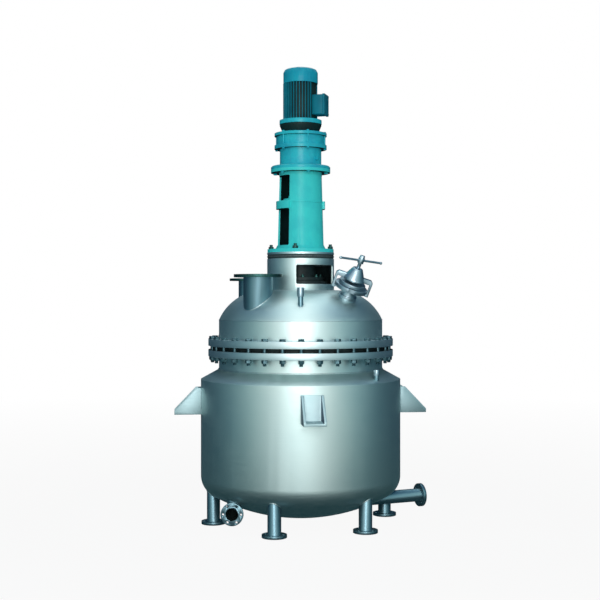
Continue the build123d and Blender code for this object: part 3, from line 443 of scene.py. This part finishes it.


# %% [markdown]
# The shell is rolled stainless sheet that was brushed after welding. The grain could be a
# painted picture, but that would need the shells unwrapped. Brushing on a vessel runs round
# it, so noise that changes fast with height and slowly sideways does the same, and varies the
# gloss and the relief. A second, broad noise varies the tint a little, as on large sheets.
# A darker copy of the same steel is painted shade on the faces of the lugs that look down or
# sideways.

# %% Brushed stainless steel
def brushed_steel(name, light, shade, roughness, grain=220, metallic=0.92):
    """Steel with a grain that runs round the vertical axis."""
    material, surface = new_finish(name, light, metallic, roughness)
    sideways_slow = object_pattern(material, (0.04, 0.04, 1))
    grain_lines = noise(material, sideways_slow, grain, detail=6, roughness=0.7)
    clouds = noise(material, object_pattern(material), scale=2.2, detail=3, roughness=0.5)
    vary_colour(material, surface, clouds, shade, light, 0.3, 0.7)
    vary_gloss(material, surface, grain_lines, roughness - 0.05, roughness + 0.07)
    add_relief(material, surface, grain_lines, strength=0.12, distance=0.0004)
    return material


shell_steel = brushed_steel(
    "shell_steel", (0.63, 0.75, 0.73), (0.55, 0.69, 0.69), 0.46, metallic=1.0
)
flange_steel = brushed_steel("flange_steel", (0.60, 0.73, 0.75), (0.50, 0.64, 0.67), 0.40, 420)
pipe_steel = brushed_steel("pipe_steel", (0.24, 0.39, 0.44), (0.17, 0.30, 0.36), 0.36, 500)
lug_steel = brushed_steel("lug_steel", (0.42, 0.56, 0.58), (0.35, 0.49, 0.52), 0.50, 300)
# painted shade: a darker copy of the lug steel for the lugs' shaded faces
scaled_steel = brushed_steel("scaled_steel", (0.10, 0.15, 0.21), (0.06, 0.10, 0.15), 0.45, 300)
handhole_steel = brushed_steel("handhole_steel", (0.46, 0.58, 0.64), (0.30, 0.41, 0.48), 0.30, 500)
print("brushed finishes:", len([m for m in bpy.data.materials if m.name.endswith("_steel")]))

# %% [markdown]
# Castings and the motor are coated with enamel, a semi-gloss skin with a faint orange peel
# that dust makes duller in patches. One even colour would look like plastic, so a broad noise
# varies tint and gloss, and a fine one gives the peel. The frame, the reducer, the motor and
# the cowl each have their own tint, and hollows that get no light are painted almost black.

# %% Enamel
def enamel(name, colour, shade, roughness=0.32, gloss=0.22):
    """Semi-gloss paint with orange peel and duller patches."""
    material, surface = new_finish(name, colour, 0.0, roughness)
    surface.inputs["Specular IOR Level"].default_value = gloss
    surface.inputs["Coat Weight"].default_value = 0.05
    surface.inputs["Coat Roughness"].default_value = 0.2
    patches = noise(material, object_pattern(material), scale=9, detail=4, roughness=0.55)
    peel = noise(material, object_pattern(material), scale=420, detail=2, roughness=0.5)
    vary_colour(material, surface, patches, shade, colour, 0.35, 0.6)
    vary_gloss(material, surface, patches, roughness + 0.08, roughness - 0.04)
    add_relief(material, surface, peel, strength=0.10, distance=0.0006)
    return material


frame_enamel = enamel("frame_enamel", (0.065, 0.92, 0.88), (0.052, 0.82, 0.82))
reducer_enamel = enamel("reducer_enamel", (0.028, 0.70, 0.80), (0.014, 0.50, 0.66), 0.28, gloss=0.30)
motor_enamel = enamel("motor_enamel", (0.006, 0.26, 0.35), (0.004, 0.18, 0.26), 0.34, gloss=0.12)
cowl_enamel = enamel("cowl_enamel", (0.012, 0.54, 0.68), (0.008, 0.40, 0.58), 0.30, gloss=0.18)
shadow_paint = enamel("shadow_paint", (0.004, 0.030, 0.028), (0.003, 0.018, 0.018), 0.6)
print("enamels:", len([m for m in bpy.data.materials if "enamel" in m.name]))

# %% [markdown]
# The studs of the frame are blackened steel with a greenish sheen, the bolts of the lid are
# dark bare steel, and the gaskets are pressed fibre sheet. Each could have a recipe of its
# own, but at their size only colour and gloss show, so they share one with a slightly
# blotched surface. Gasket sheet and plastic use it without metal, and welds with more relief.
# The same recipe gives a nearly black steel that is painted shade inside the neck, in the open
# bores and in the gap of the main flanges.

# %% Finishes of small parts
def plain_metal(name, colour, shade, roughness, scale=60, metallic=1.0, relief=0.08):
    """Small metal part with an even, slightly blotched surface."""
    material, surface = new_finish(name, colour, metallic, roughness)
    blotches = noise(material, object_pattern(material), scale, detail=4, roughness=0.6)
    vary_colour(material, surface, blotches, shade, colour)
    vary_gloss(material, surface, blotches, roughness + 0.1, roughness - 0.05)
    add_relief(material, surface, blotches, relief, distance=0.0004)
    return material


# painted shade: nearly black steel for the inside of the neck, the open bores and the flange gap
painted_shade_steel = plain_metal(
    "painted_shade_steel", (0.018, 0.034, 0.034), (0.008, 0.018, 0.019), 0.55, scale=30, metallic=0.3
)
spacer_sheet = plain_metal(
    "spacer_sheet", (0.12, 0.15, 0.15), (0.07, 0.09, 0.09), 0.5, scale=80, metallic=0.4
)
bolt_steel = plain_metal("bolt_steel", (0.12, 0.21, 0.24), (0.06, 0.12, 0.14), 0.42, 120)
# blackened steel for bolts and screws; on the rims of the open nozzles it is painted shade
black_bolt = plain_metal("black_bolt", (0.05, 0.13, 0.12), (0.02, 0.07, 0.065), 0.42, 180)
bright_steel = plain_metal("bright_steel", (0.62, 0.74, 0.77), (0.52, 0.66, 0.70), 0.26, 40)
ground_steel = plain_metal("ground_steel", (0.55, 0.57, 0.58), (0.48, 0.50, 0.51), 0.3, 90)
weld_steel = plain_metal(
    "weld_steel", (0.66, 0.74, 0.74), (0.48, 0.58, 0.60), 0.38, scale=240, relief=0.5
)
gasket_sheet = plain_metal(
    "gasket_sheet", (0.030, 0.055, 0.055), (0.018, 0.035, 0.036), 0.7,
    scale=300, metallic=0.0, relief=0.2,
)
fan_plastic = plain_metal(
    "fan_plastic", (0.03, 0.03, 0.03), (0.02, 0.02, 0.02), 0.5,
    scale=200, metallic=0.0, relief=0.1,
)
print("finishes:", len([m for m in bpy.data.materials if m.use_nodes]))

# %% [markdown]
# A measured part arrives as loose triangles with knife-sharp edges, and no real edge is that
# sharp: a saw, a lathe or a coat of paint leaves a small round that catches the light. A
# shader could fake the round, but an exported model would lose it. So a copy is merged, its
# flat faces are cleaned, and a bevel of about a millimetre is applied. The copy then stands
# for the measured part, which stays in place for everything that moves or fits.

# %% Helpers that give a measured part its edges and finish
small_edge = 0.0008
part_crease = 35
merge_distance = 0.00001
flat_angle = radians(0.2)
body_of_node = {}
for body_name, node_names in frame["record"]["behaviour"]["bodies"].items():
    for node_name in node_names:
        body_of_node[node_name] = body_name


def pick_only(piece):
    """Select one object and make it active."""
    bpy.ops.object.select_all(action="DESELECT")
    piece.select_set(True)
    bpy.context.view_layer.objects.active = piece


def add_modifier(piece, kind, **values):
    """Add a modifier, set its values and apply it."""
    pick_only(piece)
    modifier = piece.modifiers.new(kind.lower(), kind)
    for key, value in values.items():
        setattr(modifier, key, value)
    bpy.ops.object.modifier_apply(modifier=modifier.name)
    return piece


def paint(piece, finish):
    """Give the whole piece one finish."""
    piece.data.materials.clear()
    piece.data.materials.append(finish)
    return piece


def finished_copy(node, finish, edge=small_edge, smooth=part_crease):
    """Copy of a measured part with merged faces, rounded edges and its finish."""
    pick_only(frame["nodes"][node])
    bpy.ops.object.duplicate()
    piece = bpy.context.object
    piece.name = f"{node}_finished"
    del piece["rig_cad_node"]
    bpy.ops.object.mode_set(mode="EDIT")
    bpy.ops.mesh.select_all(action="SELECT")
    bpy.ops.mesh.remove_doubles(threshold=merge_distance)
    bpy.ops.mesh.dissolve_limited(angle_limit=flat_angle)
    bpy.ops.object.mode_set(mode="OBJECT")
    add_modifier(
        piece, "BEVEL", width=edge, segments=2, limit_method="ANGLE",
        angle_limit=radians(smooth), use_clamp_overlap=True,
    )
    pick_only(piece)
    bpy.ops.object.shade_smooth_by_angle(angle=radians(smooth))
    paint(piece, finish)
    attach(piece, body_of_node[node])
    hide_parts(node)
    return piece


print("bodies of nodes:", len(body_of_node))

# %% [markdown]
# Each finish lists its nodes, so one look at the list shows what is made of what. Parts that
# are closed in are painted as they are, because no one sees their edges. Castings and flanges
# get a wider round than small parts. The large shells get a small crease angle, so that the
# fold between a cylinder and a dome stays sharp.

# %% Finishes of the measured parts
leg_count = 6
leg_nodes = [f"leg_{i + 1}" for i in range(leg_count)]
finishes = {
    shell_steel: ["jacket_shell", "inner_vessel", "lid_dome", "neck_pedestal"],
    lug_steel: ["lug_front", "lug_right", "lug_rear", "lug_left"],
    handhole_steel: ["handhole_nozzle", "handhole_cover", "handhole_bridge", "handhole_screw",
                     "jacket_filler_cap", "thermometer_cap"],
    flange_steel: ["vessel_flange", "lid_flange", "adaptor_plate"],
    spacer_sheet: ["neck_spacer"],
    # the seal seat and body inside the neck are painted shade
    painted_shade_steel: ["seal_seat", "seal_body"],
    pipe_steel: ["charge_nozzle", "vapour_nozzle", "side_nozzle", "outlet_elbow",
                 "jacket_filler_nipple", "thermometer_nipple", *leg_nodes],
    bright_steel: ["agitator_shaft", "anchor_impeller"],
    ground_steel: ["frame_bearing", "shaft_coupling", "reducer_bearings", "ring_pins",
                   "output_carrier", "cycloid_disc_a", "cycloid_disc_b", "motor_rotor"],
    gasket_sheet: ["main_gasket", "neck_gaskets", "handhole_gasket"],
    frame_enamel: ["drive_frame", "frame_bearing_housing"],
    reducer_enamel: ["reducer_base", "pin_gear_ring", "reducer_cover", "motor_flange",
                     "reducer_bolts", "frame_head_bolts"],
    motor_enamel: ["motor_frame", "terminal_box"],
    cowl_enamel: ["fan_cowl"],
    black_bolt: ["frame_base_bolts", "seal_bolts"],
    fan_plastic: ["cooling_fan"],
}
hidden_inside = ("frame_bearing", "reducer_bearings", "ring_pins", "output_carrier",
                 "cycloid_disc_a", "cycloid_disc_b", "motor_rotor", "anchor_impeller",
                 "cooling_fan", "main_gasket")
wide_edges = {
    "jacket_shell": 0.003,
    "lid_dome": 0.002,
    "drive_frame": 0.002,
    "vessel_flange": 0.0015,
    "lid_flange": 0.0015,
    "reducer_base": 0.0015,
    "reducer_cover": 0.0015,
    "motor_flange": 0.0015,
    "terminal_box": 0.0015,
    "fan_cowl": 0.0012,
}
large_shells = ("lid_dome", "jacket_shell", "inner_vessel")
shell_crease = 15
for finish, names in finishes.items():
    for name in names:
        if name in hidden_inside:
            paint(frame["nodes"][name], finish)
        else:
            crease = shell_crease if name in large_shells else part_crease
            finished_copy(name, finish, wide_edges.get(name, small_edge), crease)

# %% [markdown]
# Some faces of a part get painted shade, a second finish that is darker than the rest. The
# inside of the neck and of the drive frame is painted dark as shade. So are the bores and rims
# of the open nozzles, the top of the dome inside the neck, the gap of the main flanges, the
# ground between the fins, the undersides of castings and the bowl of the reducer's cover, and a
# darker steel is painted shade on the shaded faces of the lugs. A part could be cut up for
# this, but it is enough to choose faces by where they are and which way they look, and to give
# them a second finish. How far a face must look one way is a share from 0 to 1, the length of
# its normal that way.

# %% Helpers that choose faces by place
facing_axis = 0.3
looks_up = 0.5
casting_down = 0.6
lug_turned = 0.7


def refinish_faces(node, finish, chosen):
    """Give the faces of a finished copy that pass a test a second finish."""
    piece = bpy.data.objects[f"{node}_finished"]
    piece.data.materials.append(finish)
    slot = len(piece.data.materials) - 1
    count = 0
    for polygon in piece.data.polygons:
        if chosen(polygon.center, polygon.normal):
            polygon.material_index = slot
            count += 1
    return count


def spot(azimuth, radius, height=0.0):
    """Point at an azimuth from the front, a radius and a height."""
    turn = radians(azimuth)
    return Vector((radius * sin(turn), -radius * cos(turn), height))


vessel_axis = spot(0, 0)


def outward(centre, normal, axis):
    """Radius of a face from an upright axis, and how far the face looks away from it."""
    reach = centre - axis
    radius = sqrt(reach.x**2 + reach.y**2)
    return radius, (reach.x * normal.x + reach.y * normal.y) / max(radius, 0.0001)


def within(limit):
    """Test for faces within a radius of the vessel's axis."""
    def chosen(centre, normal):
        return outward(centre, normal, vessel_axis)[0] < limit
    return chosen


def faces_inwards(limit, axis=vessel_axis):
    """Test for faces within a radius that look towards an upright axis."""
    def chosen(centre, normal):
        radius, away = outward(centre, normal, axis)
        return radius < limit and away < -facing_axis
    return chosen


def flange_rim(limit, axis):
    """Test for faces beyond a radius that don't look up."""
    def chosen(centre, normal):
        return outward(centre, normal, axis)[0] > limit and normal.z < looks_up
    return chosen


def looks_down(limit):
    """Test for faces that look down."""
    def chosen(centre, normal):
        return normal.z < -limit
    return chosen


# %% [markdown]
# Three pipes are open, so their bores are seen, and the bores and the rims of two of their
# flanges get painted shade. Their faces are found from the places of the pipes on the real
# object: two stand upright on the dome, and the outlet leaves the bottom dish level, with its
# own heading. Places are an azimuth from the front and a circle.

# %% Open pipes
charge_azimuth = -47.5
charge_circle = 0.3435
charge_pipe = 0.080
vapour_azimuth = -125
vapour_circle = 0.346
vapour_pipe = 0.054
bore_step = 0.003
rim_step = 0.004
charge_axis = spot(charge_azimuth, charge_circle)
vapour_axis = spot(vapour_azimuth, vapour_circle)

outlet_azimuth = -52.8
outlet_circle = 0.482
outlet_height = 0.108
outlet_bore = 0.0345
outlet_heading = spot(-10, 1)
outlet_place = spot(outlet_azimuth, outlet_circle, outlet_height)


def in_outlet(centre, normal):
    """Test for faces in the bore of the outlet, which look towards its level axis."""
    away = centre - outlet_place
    away -= outlet_heading * away.dot(outlet_heading)
    return away.length < outlet_bore and away.dot(normal) < 0


print("outlet at", [round(v, 3) for v in outlet_place])

# %% [markdown]
# The other faces that get painted shade lie within a radius or between two heights, which
# follow from the boxes of the measured parts. Every row of the list is one part, one finish
# and one test, and the script prints how many faces it found, so a test that misses its faces
# shows at once.

# %% Second finishes by place
neck_inside = 0.182
frame_inside = 0.129
fin_roots = 0.0895
raised_face = 0.0092
bowl_rise = 0.0175
gap_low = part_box("vessel_flange")[1].z - raised_face
gap_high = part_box("lid_flange")[0].z + raised_face
cover_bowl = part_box("reducer_cover")[0].z + bowl_rise


def in_flange_gap(centre, normal):
    """Test for faces between the two main flanges."""
    return gap_low < centre.z < gap_high


def in_cover_bowl(centre, normal):
    """Test for faces in the bowl of the reducer's cover."""
    return centre.z > cover_bowl and normal.z < looks_up


def looks_sideways(centre, normal):
    """Test for faces that look to the left or right."""
    return abs(normal.x) > lug_turned


# every row below paints shade on the faces its test chooses
second_finishes = [
    ("neck_pedestal", painted_shade_steel, faces_inwards(neck_inside)),
    ("lid_dome", painted_shade_steel, within(neck_inside)),
    ("drive_frame", shadow_paint, faces_inwards(frame_inside)),
    ("charge_nozzle", painted_shade_steel, faces_inwards(charge_pipe - bore_step, charge_axis)),
    ("vapour_nozzle", painted_shade_steel, faces_inwards(vapour_pipe - bore_step, vapour_axis)),
    # the rims of the two open nozzles get painted shade
    ("charge_nozzle", black_bolt, flange_rim(charge_pipe + rim_step, charge_axis)),
    ("vapour_nozzle", black_bolt, flange_rim(vapour_pipe + rim_step, vapour_axis)),
    ("outlet_elbow", painted_shade_steel, in_outlet),
    ("vessel_flange", painted_shade_steel, in_flange_gap),
    ("lid_flange", painted_shade_steel, in_flange_gap),
    ("motor_frame", shadow_paint, within(fin_roots)),
    ("reducer_base", shadow_paint, looks_down(casting_down)),
    ("reducer_cover", shadow_paint, looks_down(casting_down)),
    ("motor_flange", shadow_paint, looks_down(casting_down)),
    ("drive_frame", shadow_paint, looks_down(casting_down)),
    ("reducer_cover", shadow_paint, in_cover_bowl),
    ("lug_front", scaled_steel, looks_down(lug_turned)),
    ("lug_right", scaled_steel, looks_down(lug_turned)),
    ("lug_rear", scaled_steel, looks_down(lug_turned)),
    ("lug_left", scaled_steel, looks_down(lug_turned)),
    ("lug_front", scaled_steel, looks_sideways),
    ("lug_rear", scaled_steel, looks_sideways),
]
for node, finish, test in second_finishes:
    print(node, finish.name, refinish_faces(node, finish, test))

# %% [markdown]
# A bolt is a stack of simple solids: discs, hexagons and a threaded end. A real thread is a
# helix, but at this distance rings look the same and need far fewer faces, so the end is a
# cylinder cut into rings that are scaled in and out.

# %% Helpers for bolts and screws
def raw_cylinder(radius, low, high, sides=24):
    """Cylinder on the vertical axis between two heights."""
    bpy.ops.mesh.primitive_cylinder_add(
        vertices=sides, radius=radius, depth=high - low, location=(0, 0, (low + high) / 2)
    )
    return bpy.context.object


def apply_place(piece):
    """Put a piece's place into its mesh."""
    pick_only(piece)
    bpy.ops.object.transform_apply(location=True, rotation=True, scale=True)
    return piece


def join_pieces(pieces, name):
    """Join several objects into one with a new name."""
    bpy.ops.object.select_all(action="DESELECT")
    for piece in pieces:
        piece.select_set(True)
    bpy.context.view_layer.objects.active = pieces[0]
    bpy.ops.object.join()
    joined = bpy.context.object
    joined.name = name
    return joined


def chamfered_hexagon(across, low, high, chamfer=0.0016):
    """Hexagon head or nut with its ends chamfered."""
    head = raw_cylinder(across / sqrt(3), low, high, 6)
    apply_place(head)
    return add_modifier(
        head, "BEVEL", width=chamfer, segments=1, limit_method="ANGLE", angle_limit=radians(70)
    )


def threaded_end(radius, low, high, pitch=0.0025, root=0.90, sides=20):
    """Threaded stud end: a cylinder whose rings are scaled in and out."""
    turns = max(2, round((high - low) / pitch * 2))
    stud = raw_cylinder(radius, low, high, sides)
    apply_place(stud)
    bpy.ops.object.mode_set(mode="EDIT")
    bpy.ops.mesh.select_all(action="SELECT")
    for i in range(1, turns):
        bpy.ops.mesh.bisect(plane_co=(0, 0, low + (high - low) * i / turns), plane_no=(0, 0, 1))
        bpy.ops.mesh.select_all(action="SELECT")
    bpy.ops.object.mode_set(mode="OBJECT")
    for vertex in stud.data.vertices:
        ring = round((vertex.co.z - low) / (high - low) * turns)
        if ring % 2 == 0:
            vertex.co.x *= root
            vertex.co.y *= root
    return stud


def copied_round(source, count, start, name):
    """Copies of a piece turned about the vertical axis, joined into one."""
    copies = []
    for i in range(count):
        pick_only(source)
        bpy.ops.object.duplicate()
        copy = bpy.context.object
        copy.rotation_euler = (0, 0, start + 2 * pi * i / count)
        apply_place(copy)
        copies.append(copy)
    bpy.data.objects.remove(source)
    return join_pieces(copies, name)


# %% [markdown]
# Thirty-two bolts hold the lid. One is modelled with what the eye looks for: a chamfered
# hexagon, a round washer under it, the shank that shows in the gap, a chamfered nut, and a
# threaded end. It is then copied round the bolt circle, as an array modifier could do too,
# but plain copies can be joined into one piece at once.

# %% Main flange bolts
bolt_low, bolt_high = [corner.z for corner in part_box("main_flange_bolts")]
upper_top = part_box("lid_flange")[1].z
lower_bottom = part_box("vessel_flange")[0].z
bolt_count = 32
bolt_circle = 0.495
bolt_start = radians(-5.625)
shank_radius = 0.0099
hex_across = 0.030
washer_height = 0.003
washer_radius = 0.0182
nut_height = 0.017
shank_overlap = 0.001
nut_top = lower_bottom - washer_height
nut_bottom = nut_top - nut_height

bolt_pieces = [
    chamfered_hexagon(hex_across, upper_top + washer_height, bolt_high),
    raw_cylinder(washer_radius, upper_top, upper_top + washer_height),
    raw_cylinder(shank_radius, lower_bottom - shank_overlap, upper_top, 20),
    raw_cylinder(washer_radius, nut_top, lower_bottom),
    chamfered_hexagon(hex_across, nut_bottom, nut_top),
    threaded_end(shank_radius, bolt_low, nut_bottom),
]
one_bolt = join_pieces(bolt_pieces, "one_bolt")
one_bolt.location = (0, -bolt_circle, 0)
apply_place(one_bolt)
main_bolts = copied_round(one_bolt, bolt_count, bolt_start, "main_bolts")
paint(main_bolts, bolt_steel)
pick_only(main_bolts)
bpy.ops.object.shade_smooth_by_angle(angle=radians(30))
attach(main_bolts, "kettle")
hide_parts("main_flange_bolts")
print("main bolts:", len(main_bolts.data.polygons), "faces")

# %% [markdown]
# The lid of the terminal box is held by four screws with round heads. A sphere cut in half
# would be too high, so one head is a short cylinder with a bevelled rim. It is turned to face
# outwards and moved to a corner of the lid.

# %% Screws of the terminal box
box_low, box_high = [corner.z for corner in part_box("terminal_box")]
box_azimuth = 68
lid_reach = 0.150
screw_inset = 0.011
screw_half_row = 0.036
screw_radius = 0.0045
screw_height = 0.003
lid_screws = []
for along in (-screw_half_row, screw_half_row):
    for height in (box_low + screw_inset, box_high - screw_inset):
        screw = raw_cylinder(screw_radius, 0, screw_height, 20)
        apply_place(screw)
        add_modifier(
            screw, "BEVEL", width=small_edge, segments=2, limit_method="ANGLE",
            angle_limit=radians(60),
        )
        screw.rotation_euler = (pi / 2, 0, radians(box_azimuth))
        screw.location = spot(box_azimuth, lid_reach, height) + spot(box_azimuth + 90, along)
        apply_place(screw)
        lid_screws.append(screw)
box_screws = join_pieces(lid_screws, "terminal_box_screws")
paint(box_screws, black_bolt)
pick_only(box_screws)
bpy.ops.object.shade_smooth_by_angle(angle=radians(40))
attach(box_screws, body_of_node["terminal_box"])
print("box screws:", len(lid_screws))

# %% [markdown]
# Every pipe and ring on a vessel is welded on, and the bead shows as a thin rippled line. A
# painted line would stay flat, and a shrinkwrap would follow the facets of the mesh. So the
# beads follow the formulas of the dome and of the bottom dish: each is an arc of a circle
# turned about the axis, and the dish has a knuckle and a crown.

# %% Dome and bottom dish that the beads follow
vessel_side = 0.456
dome_corner_height = 1.116
dome_radius = 0.275
dome_offset = 0.204
dome_rise = sqrt(dome_radius**2 - (vessel_side - dome_offset) ** 2)
dome_centre_height = dome_corner_height - dome_rise
dish_seam = 0.254
dish_side = 0.556
dish_knuckle = 0.115
dish_crown = 1.018
knuckle_circle = dish_side - dish_knuckle
crown_reach = dish_crown - dish_knuckle
dish_centre_height = dish_seam + sqrt(crown_reach**2 - knuckle_circle**2)
knuckle_start = knuckle_circle / crown_reach * dish_crown

ripple = bpy.data.textures.new("weld_ripple", "CLOUDS")
ripple.noise_scale = 0.006


def above_dome(point):
    """How far a point lies above the dome."""
    radius = min(sqrt(point.x**2 + point.y**2), dome_offset + dome_radius)
    return point.z - dome_centre_height - sqrt(dome_radius**2 - (radius - dome_offset) ** 2)


def below_dish(point):
    """How far a point lies below the bottom dish."""
    radius = min(sqrt(point.x**2 + point.y**2), dish_side)
    if radius < knuckle_start:
        return dish_centre_height - sqrt(dish_crown**2 - radius**2) - point.z
    return dish_seam - sqrt(dish_knuckle**2 - (radius - knuckle_circle) ** 2) - point.z


print("dome centre:", round(dome_centre_height, 4), "dish centre:", round(dish_centre_height, 4))

# %% [markdown]
# A bead is a mesh circle whose points are moved along the pipe until they meet the shell. The
# circle becomes a curve with a round section, goes back to a mesh, and is then rippled.

# %% Helpers for weld beads
def seam_point(start, direction, clearance, reach):
    """Point on a straight line where it meets a surface."""
    near, far = 0.0, reach
    for _ in range(40):
        middle = (near + far) / 2
        if clearance(start + direction * middle) > 0:
            near = middle
        else:
            far = middle
    return start + direction * near


def bead_from(points, name, width):
    """Rippled weld bead along a closed loop of points."""
    bpy.ops.mesh.primitive_circle_add(vertices=len(points), radius=1)
    bead = bpy.context.object
    for vertex, point in zip(bead.data.vertices, points):
        vertex.co = point
    pick_only(bead)
    bpy.ops.object.convert(target="CURVE")
    bead.data.bevel_depth = width
    bead.data.bevel_resolution = 1
    bpy.ops.object.convert(target="MESH")
    bead = bpy.context.object
    add_modifier(
        bead, "DISPLACE", texture=ripple, texture_coords="LOCAL", strength=width / 2, mid_level=0.5
    )
    bpy.ops.object.shade_smooth()
    bead.name = name
    paint(bead, weld_steel)
    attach(bead, "kettle")
    return bead


def ring_points(radius, height, count=160):
    """Loop of points round the vessel's axis."""
    return [Vector((radius * cos(a), radius * sin(a), height))
            for a in [2 * pi * i / count for i in range(count)]]


def pipe_points(centre, heading, radius, clearance, reach, count=56):
    """Loop where a pipe of a radius, followed along its heading, meets a surface."""
    along = Vector(heading).normalized()
    across = along.orthogonal().normalized()
    up = along.cross(across)
    points = []
    for i in range(count):
        turn = 2 * pi * i / count
        start = Vector(centre) + radius * (cos(turn) * across + sin(turn) * up)
        points.append(seam_point(start, along, clearance, reach))
    return points


# %% [markdown]
# Four beads run round the whole vessel and lie at one height each. The others ring the legs
# under the dish and the pipes on the dome. Their radius is the pipe's, a little widened, so
# that the bead covers the corner between pipe and shell.

# %% Weld beads
side_bead = 0.4572
for name, radius, height, width in (
    ("weld_jacket_top", side_bead, 0.8432, 0.0035),
    ("weld_vessel_flange", side_bead, 0.9150, 0.0030),
    ("weld_lid_flange", side_bead, 1.0132, 0.0030),
    ("weld_dome_corner", vessel_side, dome_corner_height, 0.0016),
):
    bead_from(ring_points(radius, height), name, width)

up = (0, 0, 1)
leg_azimuth = -82
leg_circle = 0.493
leg_bead = 0.0368
for i in range(leg_count):
    inside_leg = spot(leg_azimuth + 360 / leg_count * i, leg_circle, 0.05)
    leg_seam = pipe_points(inside_leg, up, leg_bead, below_dish, 0.25)
    bead_from(leg_seam, f"weld_leg_{i + 1}", 0.0024)

down = (0, 0, -1)
for name, start, radius, reach, width, count in (
    ("weld_charge_nozzle", spot(charge_azimuth, charge_circle, 1.34), 0.0808, 0.3, 0.0028, 56),
    ("weld_vapour_nozzle", spot(vapour_azimuth, vapour_circle, 1.33), 0.0548, 0.3, 0.0024, 56),
    ("weld_thermometer", spot(-6, 0.395, 1.26), 0.0146, 0.2, 0.0018, 32),
    ("weld_neck", spot(0, 0, 1.4), 0.1878, 0.3, 0.0030, 120),
):
    bead_from(pipe_points(start, down, radius, above_dome, reach, count), name, width)

# %% [markdown]
# The finished kettle must not grow past the measured one. Both boxes are measured the same
# way and printed, so that anyone can compare them.

# %% Measure and finish
shown_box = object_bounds()
for title, box in (("measured box:", measured_box), ("visual box:", shown_box)):
    print(title, [[round(v, 4) for v in corner] for corner in box])
